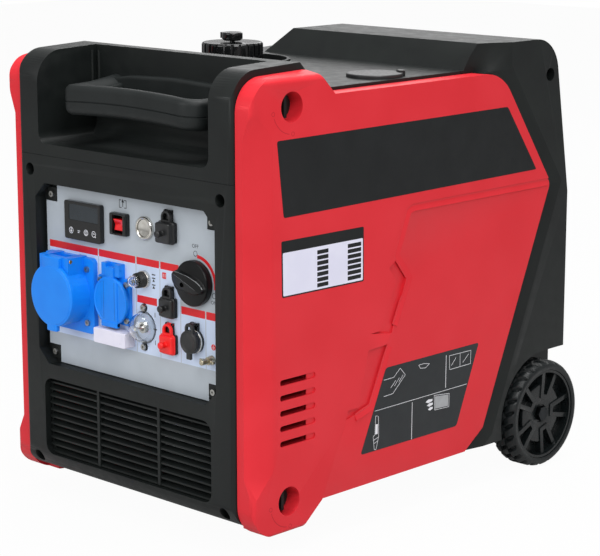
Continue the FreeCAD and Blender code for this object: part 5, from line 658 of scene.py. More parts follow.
# rubber caps: stacked rounded layers round the square block, a mushroom pull and a loop with a tall slot.
# Each cap has its finish, its place, half its width and its face, and the insets and depths of its layers
wideLayers = [(0.5, 8.4), (0, 7.9), (0, 6.3), (0.5, 5.8), (1.0, 5.6), (1.0, 4.0)]
thinLayers = [(0.5, 8.4), (0, 7.9), (0, 6.9), (0.4, 6.5), (1.0, 6.4), (1.0, 5.4)]
capValues = {"dc_socket_cap": ("black_rubber", 62.3, 328.5, 12, 0.0, wideLayers),
             "black_socket_cap": ("black_rubber", 62, 249, 11, 3.0, thinLayers),
             "red_socket_cap": ("red_rubber", 62, 210, 11, 3.0, thinLayers)}
strapValues = {"corner": 4.2, "loopHigh": 11, "loopHalf": 7.0, "slotHalf": 4.3, "loopBack": 8.4,
               "loopFace": 5.5, "axisDepth": 10.2, "axisUp": 10.2, "knuckleR": 1.5, "knuckleHalf": 3,
               "pinR": 0.8, "pinHalf": 5.2, "pull": 8, "pullR": 4.0, "loopLow": 1.5, "slotLow": 1.2,
               "slotTop": 2.6, "strapFace": 5.6, "brow": ((1.3, 1.6), (1.7, 0.7), (2.3, 0.15), (2.8, 0))}


def mushroom(x, z, face):
    # the pull: a waisted neck and a rounded head
    r, tip = strapValues["pullR"], face - strapValues["pull"]
    neck = [(r * 0.98, face + 0.9), (r * 0.78, face - 0.4), (r * 0.68, face + 0.45 * (tip - face)),
            (r * 0.9, face + 0.6 * (tip - face))]
    head = [(r, tip + 2.6), (r * 0.99, tip + 1.7), (r * 0.88, tip + 0.9), (r * 0.66, tip + 0.4),
            (r * 0.36, tip + 0.1), (0.12, tip)]
    return spun("front", (x, z), neck + head, 32)


def hangers(x, axis):
    # the knuckle and the pin that a cap's strap hangs from; axis is (depth, height)
    s = strapValues
    return [across(axis, s["knuckleR"], x - s["knuckleHalf"], x + s["knuckleHalf"]),
            across(axis, s["pinR"], x - s["pinHalf"], x + s["pinHalf"])]


for cap, (finish, x, z, half, face, layers) in capValues.items():
    s, top = strapValues, z + half + strapValues["loopHigh"]
    square = rounded(oblong(x - half, x + half, z - half, z + half), s["corner"], 6)
    brow = [(inset, face + behind) for inset, behind in s["brow"]]
    loop = softRing("front", arch(x, z + half - s["loopLow"], top, s["loopHalf"]),
                    arch(x, z + half + s["slotLow"], top - s["slotTop"], s["slotHalf"]), s["loopBack"],
                    s["loopFace"], 0.8)
    axis = (s["axisDepth"], z + half + s["axisUp"])
    strap = block(x - s["knuckleHalf"], x + s["knuckleHalf"], s["strapFace"], axis[0],
                  axis[1] - s["knuckleR"], top - 0.2, 0.5)
    rebuildPiece(cap + "_skin", cap, finish,
                 [softSlab("front", square, layers + brow), mushroom(x, z, face), loop]
                 + hangers(x, axis) + [strap], 45)

# the round cap: a disc with a raised ring, a strap loop above and a tab below, over the socket's bright rim
roundCap = {"centre": (100, 219.5), "radius": 12.3, "back": 3.5, "face": 0.6, "loop": (9.5, 20.4, 6.2),
            "slot": (12.6, 18.0, 3.3), "tabHalf": 3.4, "tab": (18.3, 10), "axisUp": 18,
            "strap": (16.5, 19.3), "rim": [(12.4, 7.0), (12.9, 7.2), (12.9, 8.6), (12.4, 8.8)], "lift": 0.2,
            "soft": 0.6, "tabSoft": 1.2, "loopAside": 1,
            "raised": [(1.0, 0.6), (1.4, 0.1), (2.2, 0.0), (2.7, 0.5), (8, 0.55)]}


def roundCapParts():
    # rings of (inset, depth) from the edge in: a rounded shoulder, a raised ring and the floor inside it
    g, (x, z), half = roundCap, roundCap["centre"], strapValues["knuckleHalf"]
    back, face, deep = g["back"], g["face"], strapValues["axisDepth"]
    loopX, front = x + g["loopAside"], face + g["lift"]
    rings = roundOver(back, face, g["soft"]) + g["raised"]
    loop = softRing("front", arch(loopX, z + g["loop"][0], z + g["loop"][1], g["loop"][2]),
                    arch(loopX, z + g["slot"][0], z + g["slot"][1], g["slot"][2]), back, face + 0.1, 0.7)
    return [softSlab("front", circle((x, z), g["radius"], 72), rings), loop,
            block(x - g["tabHalf"], x + g["tabHalf"], front, back, z - g["tab"][0], z - g["tab"][1],
                  g["tabSoft"]),
            *hangers(x, (deep, z + g["axisUp"])),
            block(x - half, x + half, front, deep, z + g["strap"][0], z + g["strap"][1], 0.5)]


rebuildPiece("aux_socket_cap_skin", "aux_socket_cap", "black_rubber", roundCapParts(), 45)
addPiece("aux_socket_rim", "aux_socket", "bright_metal",
         [spun("front", roundCap["centre"], roundCap["rim"], 72, True)])
print("lids and caps made")

# display: a dark glass window sunk in the black frame and four small marks under it
displayValues = {
    "window": rounded(oblong(-93, -44.3, 323.4, 340.6), 1, 3), "glass": (6.55, 7.2), "marks": (5.93, 6.02),
    "rings": [((-88.8, 311.8), 3.5), ((-64.3, 311.8), 3.4), ((-51.6, 311.8), 3.4)], "ringWide": 0.65,
    "strokes": [((-88.8, 311.4), (-88.8, 314.2), 0.9), ((-78, 312.4), (-74.2, 312.4), 0.8),
                ((-78, 310.6), (-75.4, 310.6), 0.8), ((-66, 310.2), (-62.6, 310.2), 0.6),
                ((-66, 311.8), (-62.6, 311.8), 0.6), ((-66, 313.4), (-62.6, 313.4), 0.6),
                ((-53.6, 312.2), (-49.8, 312.2), 0.8), ((-50.2, 310), (-48.4, 308.2), 0.9)],
    "dot": circle((-88.8, 311.2), 1.3, 16)}
d = displayValues
addPiece("display_window", "display_unit", "darkGlass", [slab("front", d["window"], *d["glass"])], 0)
marks = [ringSlab("front", centre, r, r - d["ringWide"], *d["marks"]) for centre, r in d["rings"]]
marks += [slab("front", shape, *d["marks"]) for shape in [d["dot"]] + [bar(*row) for row in d["strokes"]]]
addPiece("display_marks", "display_unit", "whiteInk", marks, 0)

# rocker: a glossy frame stands in front of the housing
rockerValues = {"centre": (-13, 327.5), "outer": (12.6, 11.8), "inner": (8.2, 9.8), "back": 8.3, "face": 5.2}


def rockerFrame():
    # a frame between two rounded rectangles about one centre
    g, (x, z) = rockerValues, rockerValues["centre"]
    (a, b), (c, d) = g["outer"], g["inner"]
    return softRing("front", rounded(oblong(x - a, x + a, z - b, z + b), 2, 5),
                    rounded(oblong(x - c, x + c, z - d, z + d), 1.4, 5), g["back"], g["face"], 1.2)


addPiece("rocker_frame", "rocker_housing", "black_gloss", [rockerFrame()])

# start button: a domed chrome ring round a dished steel button, as profiles of (radius, depth)
startValues = {"centre": (25.2, 328),
               "ring": [(9.6, 12), (9.6, 9.0), (9.9, 8.2), (10.6, 7.7), (11.4, 7.8), (12.2, 8.5),
                        (12.6, 9.6), (12.6, 12)],
               "dish": [(9.3, 14), (9.3, 9.7), (9.0, 9.4), (8.2, 9.5), (6.5, 10.0), (4.5, 10.4), (2.0, 10.6),
                        (0.3, 10.65)]}
addPiece("start_ring", "start_button_bezel", "bright_metal",
         [spun("front", startValues["centre"], startValues["ring"], 72, True)])
rebuildPiece("start_dish", "start_button", "bright_metal",
             [spun("front", startValues["centre"], startValues["dish"], 72)])

# breaker: pale washer, a black collar with ribs and a clear ribbed boot: r(y) = r0 + a cos(2 pi y / pitch)
breakerValues = {"centre": (22.5, 273),
                 "washer": [(9.3, 12), (9.3, 10.2), (9.0, 9.9), (7.0, 9.9), (7.0, 12)],
                 "collar": (9.9, 0.2, 8.2, 0.05, 0.42, 1.9),
                 "collarBore": [(6.7, 0.1), (6.6, 1.2), (6.6, 9.9)], "boot": (6.0, -7.2, 5.9, 0.22, 2.2),
                 "bootRoot": [(7.4, 8), (7.4, 6.2)],
                 "bootTip": [(5.3, -8.2), (4.4, -8.45), (1, -8.5), (0.3, -8.5), (0.3, -7.3), (4.3, -7.2),
                             (4.9, -6.6), (4.9, 8)]}


def collarProfile():
    # ribs on a cone: r(y) = r0 - taper (start - y) + rib cos(2 pi y / pitch), then down the bore
    start, end, r0, taper, rib, pitch = breakerValues["collar"]
    ribs = [(r0 - taper * (start - y) + rib * math.cos(2 * math.pi * y / pitch), y)
            for y in np.linspace(start, end, 40)]
    return ribs + breakerValues["collarBore"]


def bootProfile():
    # ribs on a cylinder: r(y) = r0 + rib cos(2 pi y / pitch), from the root to the closed tip
    start, end, r0, rib, pitch = breakerValues["boot"]
    ribs = [(r0 + rib * math.cos(2 * math.pi * y / pitch), y) for y in np.linspace(start, end, 34)]
    return breakerValues["bootRoot"] + ribs + breakerValues["bootTip"]


centre = breakerValues["centre"]
addPiece("breaker_washer", "breaker_body", "steel",
         [spun("front", centre, breakerValues["washer"], 48, True)])
addPiece("breaker_collar", "breaker_body", "black_rubber",
         [spun("front", centre, collarProfile(), 48, True)], 50)
rebuildPiece("breaker_boot_skin", "breaker_boot", "clear_plastic",
             [spun("front", centre, bootProfile(), 48, True)], 60)

# selector knob on a polar grid, r = share * reach(a), where reach swells into the pointer's nose. Its height
# over the rim is the dome crown (1 - (r / R)^2), blended by a smooth step into a lens-shaped grip turned by
# tilt: the grip's top falls off with u^2 along it and below its crest line
knobValues = {"centre": (102.2, 281.0), "radius": 24.0, "rim": 3.5, "crown": 2.6, "tilt": -9.5, "top": 6.4,
              "fall": 0.004, "slope": 0.28, "wall": 1.5, "edge": 0.9, "skirtR": 23.6,
              "skirt": (8.5, 9.4, 11.5), "steps": 180, "rings": 46, "share": (0.03, 0.97), "lip": 0.5,
              "hole": (-8.0, -2.8), "holeProfile": [(2.5, 3.0), (2.5, -2.0), (2.35, -2.1), (0.3, -1.95)],
              "noseReach": ([0, 151, 165, 178, 191, 205, 360], [24, 24, 27.2, 27.9, 27.0, 24, 24]),
              "lensHalf": ([-29, -24, -15, 0, 12, 19, 23], [6.0, 8.3, 10.0, 10.5, 8.5, 5.2, 0.0]),
              "crestLine": ([-24, -13, 0, 12, 23], [4.1, 3.3, 1.0, -2.3, -5.0]),
              "line": (-22, 21, 30), "lineWide": 0.45, "crestSteps": 24, "crestWide": 0.25}


def turned(u, v, degrees):
    # plane coordinates turned about their origin
    turn = math.radians(degrees)
    return u * math.cos(turn) - v * math.sin(turn), u * math.sin(turn) + v * math.cos(turn)


def knobDepth(u, v):
    # depth(u, v) = rim - (dome + blend (top - dome)), with u along the grip and v across it
    k = knobValues
    inside = np.clip((np.interp(u, *k["lensHalf"]) - np.abs(v)) / k["wall"], 0, 1)
    blend = inside * inside * (3 - 2 * inside)
    dome = k["crown"] * (1 - np.clip((u * u + v * v) / k["radius"] ** 2, 0, 1))
    top = k["top"] - k["fall"] * u * u - k["slope"] * np.clip(np.interp(u, *k["crestLine"]) - v, 0, 20)
    return k["rim"] - (dome + blend * (top - dome))


def knobMesh():
    # P(share, a) = centre + share reach(a) (cos a, sin a) at knobDepth, then a skirt back to the plate
    k, steps = knobValues, knobValues["steps"]
    angle = np.linspace(0, 2 * np.pi, steps, endpoint=False)
    reach = np.interp(np.degrees(angle), *k["noseReach"])
    share = np.concatenate([np.linspace(*k["share"], k["rings"]), [1.0]])[:, None]
    right, up = share * reach * np.cos(angle), share * reach * np.sin(angle)
    depth = knobDepth(*turned(right, up, -k["tilt"]))
    depth[-1] += k["edge"]
    skirtReach = np.stack([reach, reach] + [np.full(steps, k["skirtR"])] * 2)
    skirtDepth = np.stack([depth[-1] + k["lip"]] + [np.full(steps, deep) for deep in k["skirt"]])
    x = np.vstack([right, skirtReach * np.cos(angle)]) + k["centre"][0]
    z = np.vstack([up, skirtReach * np.sin(angle)]) + k["centre"][1]
    grid = np.stack([x, np.vstack([depth, skirtDepth]) - middleY, z], -1).reshape(-1, 3) / 1000
    return grid, gridFaces(x.shape[0], steps, capEnds=True)


def knobLine(u, v, wide, lift=0.06, thick=0.4):
    # a fine raised line that follows the grip's surface
    path = np.stack([u, v], -1)
    step = np.gradient(path, axis=0)
    side = np.stack([-step[:, 1], step[:, 0]], -1) / np.linalg.norm(step, axis=1, keepdims=True) * wide / 2
    rows = []
    for edge in (path + side, path - side):
        right, up = turned(edge[:, 0], edge[:, 1], knobValues["tilt"])
        depth = knobDepth(edge[:, 0], edge[:, 1]) - lift
        rows.append(np.stack([right + knobValues["centre"][0], depth - middleY,
                              up + knobValues["centre"][1]], -1))
    rows += [row + (0, thick, 0) for row in rows[::-1]]
    return np.stack(rows, 1).reshape(-1, 3) / 1000, gridFaces(len(u), 4, capEnds=True)


rebuildPiece("selector_knob_skin", "selector_knob", "knobNylon", [knobMesh()], 40)
k = knobValues
along = np.linspace(*k["line"])
crest = along[:k["crestSteps"]]
# grey raised lines along the grip's edge and along its crest: painted highlights
lines = [knobLine(along, np.interp(along, *k["lensHalf"]) - k["wall"], k["lineWide"]),
         knobLine(crest, np.interp(crest, *k["crestLine"]), k["crestWide"])]
addPiece("knob_highlight_lines", "selector_knob", "greyEdge", lines, 0)
# the knob's hole is lined with near-black: painted shade
holeCentre = np.array(turned(*k["hole"], k["tilt"])) + k["centre"]
addPiece("knob_hole", "selector_knob", "voidBlack", [spun("front", holeCentre, k["holeProfile"], 28)], 0)
print("panel details made")

# the grip: a soft oblong section carried round a U-shaped path. With s along the path and q round the
# section, P(s, q) = path(s) + in(q) n(s) at height z(q) + lift(x) with lift(x) = bow (1 - (x / half)^2) less
# sink; over the seam the arms also climb towards the wall behind them, by climb ((y - start) / run)^1.5
gripValues = {"half": 107.0, "front": 4.5, "back": 84.0, "wide": 29.5, "corner": 24.0, "low": 437.0,
              "top": 470.0, "seam": 452.5, "seamWide": 0.8, "seamDeep": 1.0, "bow": 4.5, "sink": 2.5,
              "roundTop": 6.5, "roundLow": 10.0, "crestDrop": 7.5, "climb": 6.0, "climbStart": 34.0,
              "climbRun": 50.0, "arm": (84.0, 72.0, 60.0, 45.0),
              "rim": [(-100, 440), (100, 440), (100, 470), (70, 475), (0, 477.5), (-70, 475), (-100, 470)],
              "rimRings": [(0, 84), (0, 76.5), (0.6, 75), (2.2, 74), (4, 74)]}


def gripSection():
    # (distance in from the outer face, height): rounded edges, a notch at the seam and a narrow crest that
    # drops to the finger hole behind it
    g = gripValues
    keys = ("roundTop", "roundLow", "low", "top", "seam", "wide")
    up, down, low, top, seam, wide = (g[key] for key in keys)
    t = np.linspace(0, np.pi / 2, 7)
    lowOuter = [(down * (1 - math.sin(a)), low + down * (1 - math.cos(a))) for a in t]
    notch = [(0, seam - g["seamWide"]), (g["seamDeep"], seam - 0.25), (g["seamDeep"], seam + 0.25),
             (0, seam + g["seamWide"])]
    topOuter = [(up * (1 - math.cos(a)), top - up * (1 - math.sin(a))) for a in t]
    crest = [(q, top - g["crestDrop"] * math.sin((q - up) / (wide - up - 2) * math.pi / 2) ** 2)
             for q in np.linspace(up + 2, wide - 2, 7)]
    inner = [(wide - 0.5, top - 9.2), (wide, top - 12), (wide, low + 6), (wide - 1.8, low + 1.8),
             (wide - 6, low)]
    return np.array(lowOuter + notch + topOuter + crest + inner)


def gripPath():
    # the outer face seen from above: arm, quarter circle, straight front, quarter circle, arm
    g = gripValues
    half, r, t = g["half"], g["corner"], np.linspace(0, np.pi / 2, 14)
    left = np.stack([-half + r - r * np.cos(t), g["front"] + r - r * np.sin(t)], 1)
    right = np.stack([-left[::-1, 0], left[::-1, 1]], 1)
    front = np.stack([np.linspace(-half + r, half - r, 32)[1:-1], np.full(30, g["front"])], 1)
    arm = np.array([[-half, y] for y in g["arm"]])
    path = np.vstack([arm, left, front, right, np.stack([-arm[::-1, 0], arm[::-1, 1]], 1)])
    step = np.gradient(path, axis=0)
    step /= np.linalg.norm(step, axis=1, keepdims=True)
    return path, np.stack([-step[:, 1], step[:, 0]], 1)


def gripLoop():
    # the section at every step of the path, lifted and bent as above
    g, section, (path, inwards) = gripValues, gripSection(), gripPath()
    flat = path[:, None] + section[None, :, :1] * inwards[:, None]
    lift = g["bow"] * (1 - np.clip(np.abs(flat[..., 0]) / g["half"], 0, 1) ** 2) - g["sink"]
    climb = g["climb"] * np.clip((flat[..., 1] - g["climbStart"]) / g["climbRun"], 0, 1) ** 1.5
    height = section[None, :, 1] + lift + climb * (section[None, :, 1] > g["seam"])
    points = np.stack([flat[..., 0], flat[..., 1] - middleY, height], -1).reshape(-1, 3) / 1000
    return points, gridFaces(len(path), len(section), capEnds=True)


gripPiece = rebuildPiece("grip_skin", "grip_upper", "grip_plastic",
                         [gripLoop(), softSlab("front", rounded(gripValues["rim"], 8, 6),
                                               gripValues["rimRings"])],
                         40)
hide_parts("grip_lower")
print("grip made")

# tyre: tread of slanted blocks in three rows. r(a, x) = shoulder profile(x) - depth where a groove runs,
# with the grooves' angle shifted by slant * x and the middle row half a pitch out of step
tyreValues = {"axleY": 484.0, "axleZ": 63.5, "inner": 160.0, "count": 26, "pitchSteps": 12, "deep": 3.6,
              "slant": (0.5, 12), "rowEdges": (13, 23), "grooveHalf": 0.17, "grooveSlope": 0.05,
              "shoulder": 60,
              "outerBead": [(53, 1), (53, 35), (54.5, 35.7), (57.5, 36.0), (59.6, 34.9), (61, 33.4),
                            (62.2, 31.4), (63.0, 29)],
              "tread": [(63.4, 27), (63.5, 25), (63.5, 24.2), (61.4, 23.6), (61.4, 22.4), (63.5, 21.8),
                        (63.5, 19), (63.5, 16.5), (63.5, 14.2), (61.4, 13.6), (61.4, 12.4), (63.5, 11.8),
                        (63.5, 9)],
              "innerBead": [(63.0, 7), (62, 4.6), (60.8, 2.2), (57.5, 0.0), (54.5, 0.4)]}


def tyreMesh(side):
    # the groove turns are measured in pitches: turn = a count / (2 pi) + slant x / 12, grooves at 0.5
    t = tyreValues
    profile = np.array(t["outerBead"] + t["tread"] + t["innerBead"])
    steps, (share, over) = t["count"] * t["pitchSteps"], t["slant"]
    angle = np.linspace(0, 2 * np.pi, steps, endpoint=False)[:, None]
    radius, x = profile[:, 0][None], profile[:, 1][None]
    inMiddle = (x > t["rowEdges"][0]) & (x <= t["rowEdges"][1])
    turn = (angle * t["count"] / (2 * np.pi) + np.where(inMiddle, 0.5, 0.0) + share * x / over) % 1
    groove = np.clip((t["grooveHalf"] - np.abs(turn - 0.5)) / t["grooveSlope"], 0, 1)
    r = radius - groove * np.clip((radius - t["shoulder"]) / 2, 0, 1) * t["deep"]
    xs = np.broadcast_to(t["inner"] + x, r.shape)
    y, z = t["axleY"] + r * np.cos(angle) - middleY, t["axleZ"] + r * np.sin(angle)
    points = np.stack([side * xs, y, z], -1)
    return points.reshape(-1, 3) / 1000, gridFaces(steps, len(profile), closeRows=True)


for side, hand in hands:
    rebuildPiece(f"tyre_{hand}_skin", f"tyre_{hand}", "tyre", [tyreMesh(side)], 50)

# the hub's star plate between the spoke pairs: reach(d) over the angle d from the middle of a gap is a flat
# arm that falls to its foot behind each pair, with a round hole for the axle's head
starValues = {"hole": 10.5, "back": 184.5, "face": 188.7, "soft": 0.8, "arms": 5, "steps": 360,
              "reach": ([0, 17, 23, 25, 36], [34.3, 35, 25, 21, 21])}


def starPlate(side):
    # reach(d) outside and the hole inside, about the axle; drawn facing left, then mirrored
    s = starValues
    turn, pitch = np.linspace(0, 360, s["steps"], endpoint=False), 360 / s["arms"]
    fromGap = np.abs(turn % pitch - pitch / 2)
    reach = np.interp(fromGap, *s["reach"])
    ray = np.stack([np.cos(np.radians(turn)), np.sin(np.radians(turn))], 1)
    centre = np.array([tyreValues["axleY"], tyreValues["axleZ"]])
    plate = softRing("side", centre + ray * reach[:, None], centre + ray * s["hole"], -s["back"], -s["face"],
                     s["soft"])
    return mirrored(plate, -side)


for side, hand in hands:
    addPiece(f"hub_star_{hand}", f"hub_{hand}", "hub_plastic", [starPlate(side)])
print("tyres made")

# the white side plate: two columns of seven black cells with nothing written in them
cellValues = {"top": 312.2, "pitch": 5.75, "rows": 7, "half": 2.1,
              "columns": ((98.3, 115.0), (144.4, 165.0)), "lift": 0.08}
for side, hand in hands:
    c = cellValues
    cells = [oblong(start, end, c["top"] - c["pitch"] * row - c["half"],
                    c["top"] - c["pitch"] * row + c["half"])
             for row in range(c["rows"]) for start, end in c["columns"]]
    sideShapes("plate_cells", hand, side, "blackVinyl", cells, skinTop, skinTop + c["lift"])
print("side plates filled")

# two upright half-round ribs in the left corner of the recess, from its floor to its brim
ribValues = {"radius": 1.9, "levels": (426, 429, 495, 498), "steps": 9,
             "places": ((-133.6, 79.0, -90), (-128.5, 84.2, 180))}


def recessRib(x, y, start):
    # half a circle of the radius carried up through the levels
    r, steps, levels = ribValues["radius"], ribValues["steps"], np.array(ribValues["levels"], float)
    turn = np.radians(np.linspace(start, start + 180, steps))
    ring = np.stack([x + r * np.cos(turn), y + r * np.sin(turn) - middleY], 1)
    flat = np.broadcast_to(ring, (len(levels), steps, 2))
    grid = np.dstack([flat, np.broadcast_to(levels[:, None], (len(levels), steps))])
    return grid.reshape(-1, 3) / 1000, gridFaces(len(levels), steps, capEnds=True)


ribs = [recessRib(*place) for place in ribValues["places"]]
addPiece("recess_ribs", "handle_cover", "black_shell", ribs, 45)

# shallow engraved arcs with a small ring at each end by every latch: generic turn marks, in a deeper red as
# painted shade in the engraving
latchMarks = {"places": (((61.6, 464.7), (200, 262)), ((56.8, 56.3), (196, 262))), "arc": (27.4, 26.8),
              "at": 27.1, "ends": (-9, 11), "ring": (2.3, 1.8), "lift": 0.04}
# plain line figures on the slanted film: a folded filter with its pleats, a plug outline, a drop, a frame of
# two fields, three arrows beside a bordered square, and the lines between them
filmMarks = {
    "stroke": 0.5, "lift": 0.06,
    "square": [(290.2, 121.8), (313.4, 119.6), (313.2, 106.6), (290.8, 107.6)],
    "figures": [
        [(204.5, 156.8), (220.6, 156.9), (231.1, 165.2), (239.8, 156.3), (219.4, 139.0), (204.7, 138.5)],
        [(229, 150), (236, 157)], [(222, 147), (230, 155)], [(216, 146), (224, 153)],
        [(194.7, 119), (191.7, 119.6), (190.8, 98.6), (188, 97.3), (189.9, 82.4), (192.7, 81.8),
         (196.8, 95.4), (196.7, 108), (196.1, 118.7)],
        [(188.6, 93), (196.4, 95)], [(189, 89), (195, 91)],
        [(261.9, 162.8), (270.6, 163.1), (280.1, 161.3), (273.6, 157.7), (264.9, 158.8), (261.9, 162.8)],
        [(314.1, 163.9), (351.9, 163.5), (351.5, 148.1), (315.2, 147.9), (314.1, 163.9)],
        [(333, 163.7), (333, 148)], [(318, 152), (326, 160)], [(338, 152), (348, 160)],
        [(288.9, 123.3), (315, 120.6), (314.6, 105.3), (290, 106.3), (288.9, 123.3)]],
    "lines": [((190.5, 125.2), (345.5, 125.6), 0.5), ((308.8, 165.5), (308.3, 128.4), 0.8),
              ((251.8, 122.8), (251.2, 81), 0.8)],
    "shapes": [[(274.3, 118.3), (279, 120.6), (286, 119.9), (286, 117.7), (279, 116.4)],
               [(276.6, 113.9), (281, 116), (286.6, 115.6), (286.6, 113.4), (281, 112)],
               [(278.5, 109), (282, 111.2), (286.6, 110.8), (286.6, 108.8), (282, 107.4)],
               [(191.9, 110), (195.4, 110), (195.2, 99), (191.4, 99)]]}
# red sleeves line the five vent slots, so that their walls show dark red inside: painted shade on the slot
# walls
sleeveValues = {"slot": (44, 84), "first": 116, "pitch": 16.2, "high": 6.3, "wall": 1.3, "endWall": 1.4,
                "count": 5, "slotRound": (3, 0.3, 0.3, 3), "wallRound": (4, 1, 1, 4),
                "depths": (172.0, 187.0)}
# a low ridge follows the panel's edge beside the groove: a section of (distance in, depth) carried along it
ridgeValues = {
    "section": np.array([(0.0, 188.2), (0.0, 189.1), (2.4, 188.7), (8.4, 189.9), (9.0, 188.3)]),
    "edges": ([(486, 344), (247.6, 344), (238, 340), (217.5, 290), (239, 263), (216.5, 217)],
              [(208, 195), (180, 135), (158, 129)])}


def latchRings():
    # one arc from start to end in degrees round every latch, and a ring beyond each end
    m, rings = latchMarks, []
    low, high = skin - printValues["under"], skin + m["lift"]
    for centre, (start, end) in m["places"]:
        rings.append(ringSlab("side", centre, *m["arc"], low, high, start, end))
        for angle in np.radians([start + m["ends"][0], end + m["ends"][1]]):
            spot = np.array(centre) + m["at"] * np.array([math.cos(angle), math.sin(angle)])
            rings.append(ringSlab("side", spot, *m["ring"], low, high))
    return rings


def ventSleeves():
    # a frame round each slot, one pitch above the other, round at the slots' front ends
    s, sleeves = sleeveValues, []
    start, end = s["slot"]
    for row in range(s["count"]):
        low = s["first"] + s["pitch"] * row
        outer = oblong(start - s["endWall"], end + s["endWall"], low - s["wall"],
                       low + s["high"] + s["wall"])
        inner = oblong(start, end, low, low + s["high"])
        sleeves.append(softRing("side", rounded(outer, s["wallRound"], 5), rounded(inner, s["slotRound"], 5),
                                *s["depths"], 0.2))
    return sleeves


def edgeRidge(edge):
    # P(s, q) = path(s) + in(q) n(s) at depth(q); at a corner n is the mean of both sides, lengthened to fit
    path, section = np.array(edge, float), ridgeValues["section"]
    step = np.diff(path, axis=0) / np.linalg.norm(np.diff(path, axis=0), axis=1, keepdims=True)
    mean = np.vstack([step[:1], step[:-1] + step[1:], step[-1:]])
    inward = np.stack([-mean[:, 1], mean[:, 0]], 1)
    normal = np.stack([-step[:, 1], step[:, 0]], 1)
    inward /= np.sum(inward * np.vstack([normal[:1], normal]), axis=1, keepdims=True)
    flat = path[:, None] + section[None, :, :1] * inward[:, None]
    points = onPlane("side", flat.reshape(-1, 2), np.tile(section[:, 1], len(path)))
    return points, gridFaces(len(path), len(section), capEnds=True)


for side, hand in hands:
    cover, markTop = f"side_cover_{hand}", panelTop + filmMarks["lift"]
    addPiece(f"latch_marks_{hand}", cover, "redMark", [mirrored(ring, side) for ring in latchRings()], 0)
    strokes = [bar(a, b, filmMarks["stroke"]) for path in filmMarks["figures"]
               for a, b in zip(path[:-1], path[1:])]
    strokes += [bar(*line) for line in filmMarks["lines"]] + filmMarks["shapes"]
    sideShapes("grey_film_lines", hand, side, "whiteInk", strokes, panelTop, markTop)
    sideShapes("grey_film_square", hand, side, "paleInk", [filmMarks["square"]], panelTop, markTop)
    addPiece(f"vent_sleeves_{hand}", cover, "redMark", [mirrored(sleeve, side) for sleeve in ventSleeves()],
             30)
    addPiece(f"panel_ridge_{hand}", cover, "red_shell",
             [mirrored(edgeRidge(edge), side) for edge in ridgeValues["edges"]], 20)
print("side marks made")

# the camera stands where the photo was taken from, with its lens in mm on a 36 mm sensor
viewValues = {"place": (1.5869, -1.64405, 0.7172), "elevation": 11.98, "azimuth": 43.86, "lens": 121.888,
              "sensor": 36, "far": 50}
cameraData = bpy.data.cameras.new("camera")
cameraData.lens = viewValues["lens"]
cameraData.sensor_width = viewValues["sensor"]
cameraData.sensor_fit = "HORIZONTAL"
cameraData.clip_end = viewValues["far"]
camera = bpy.data.objects.new("camera", cameraData)
camera.location = viewValues["place"]
camera.rotation_euler = (math.radians(90 - viewValues["elevation"]), 0, math.radians(viewValues["azimuth"]))
bpy.context.scene.collection.objects.link(camera)
bpy.context.scene.camera = camera

aimAt = (0, 0, 0.25)  # the middle of the case
lightValues = {  # place and size in metres, watts
    "keyLight": ((2.1, -1.3, 2.1), 1.3, 47),
    "fillLight": ((-0.3, -2.7, 1.5), 1.8, 29),
    "topLight": ((0.3, 0.2, 2.7), 1.8, 60),
    "backLight": ((-1.8, 2.2, 1.8), 1.6, 15)}
for name, (place, size, watts) in lightValues.items():
    lamp = bpy.data.lights.new(name, "AREA")
    lamp.shape = "SQUARE"
    lamp.size = size
    lamp.energy = watts
    holder = bpy.data.objects.new(name, lamp)
    holder.location = place
    aim = np.array(aimAt) - np.array(place)
    turnZ = math.atan2(aim[1], aim[0]) - math.pi / 2
    turnX = math.atan2(aim[2], math.hypot(aim[0], aim[1])) + math.pi / 2
    holder.rotation_euler = (turnX, 0, turnZ)
    bpy.context.scene.collection.objects.link(holder)


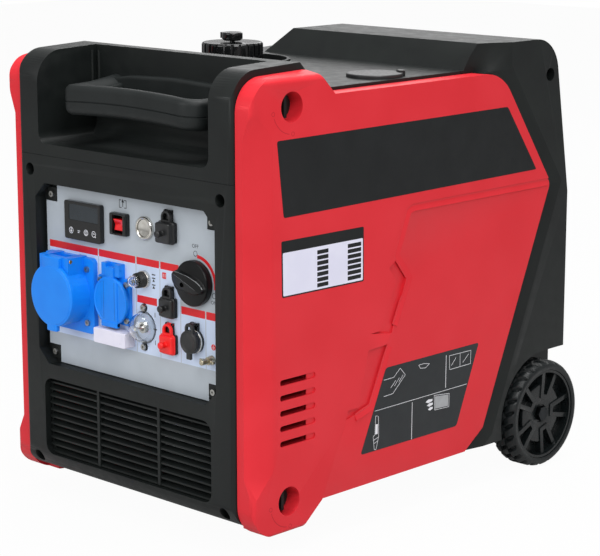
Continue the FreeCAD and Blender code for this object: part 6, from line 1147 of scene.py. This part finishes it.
def seenShare(tree, eye, mirror):
    # how much white a ray finds: eye for the camera and clear plastic, mirror for reflections, else nothing
    path = add(tree, "ShaderNodeLightPath")
    seen = add(tree, "ShaderNodeMath",
               {0: path.outputs["Is Camera Ray"], 1: path.outputs["Is Transmission Ray"]},
               operation="MAXIMUM")
    seen = add(tree, "ShaderNodeMath", {0: seen.outputs[0], 1: eye}, operation="MULTIPLY")
    shine = add(tree, "ShaderNodeMath", {0: path.outputs["Is Glossy Ray"], 1: mirror}, operation="MULTIPLY")
    return add(tree, "ShaderNodeMath", {0: seen.outputs[0], 1: shine.outputs[0]},
               operation="MAXIMUM").outputs[0]


# studio values: for floor and world, the share of white that the camera and that a reflection finds
studioValues = {"floor": "#C4C4C4", "floorHalf": 6, "floorShares": (0.965, 0.12), "world": 0.35,
                "worldShares": (1.0, 0.2)}
floorMaterial, tree, output, place = newMaterial("paleFloor")
plain = add(tree, "ShaderNodeBsdfDiffuse", {"Color": linear(studioValues["floor"])})
bright = add(tree, "ShaderNodeEmission", {"Color": (1, 1, 1, 1), "Strength": 1.0})
both = add(tree, "ShaderNodeMixShader",
           {0: seenShare(tree, *studioValues["floorShares"]), 1: plain.outputs[0],
            2: bright.outputs[0]})
tree.links.new(both.outputs[0], output.inputs["Surface"])
edges = np.array([-studioValues["floorHalf"], studioValues["floorHalf"]])
grid = np.stack(np.meshgrid(edges, edges, indexing="ij"), -1).reshape(-1, 2)
floorMesh = bpy.data.meshes.new("floor")
floorMesh.from_pydata(np.c_[grid, np.zeros(4)].tolist(), [], [(0, 2, 3, 1)])
floorMesh.materials.append(floorMaterial)
floor = bpy.data.objects.new("floor", floorMesh)
bpy.context.scene.collection.objects.link(floor)

world = bpy.data.worlds.new("studio")
bpy.context.scene.world = world
world.use_nodes = True
tree = world.node_tree
tree.nodes.clear()
soft = add(tree, "ShaderNodeBackground", {"Color": (1, 1, 1, 1), "Strength": studioValues["world"]})
bright = add(tree, "ShaderNodeBackground", {"Color": (1, 1, 1, 1), "Strength": 1.0})
both = add(tree, "ShaderNodeMixShader",
           {0: seenShare(tree, *studioValues["worldShares"]), 1: soft.outputs[0],
            2: bright.outputs[0]})
tree.links.new(both.outputs[0], add(tree, "ShaderNodeOutputWorld").inputs["Surface"])
bpy.context.scene.view_settings.view_transform = "Standard"
print("studio made")
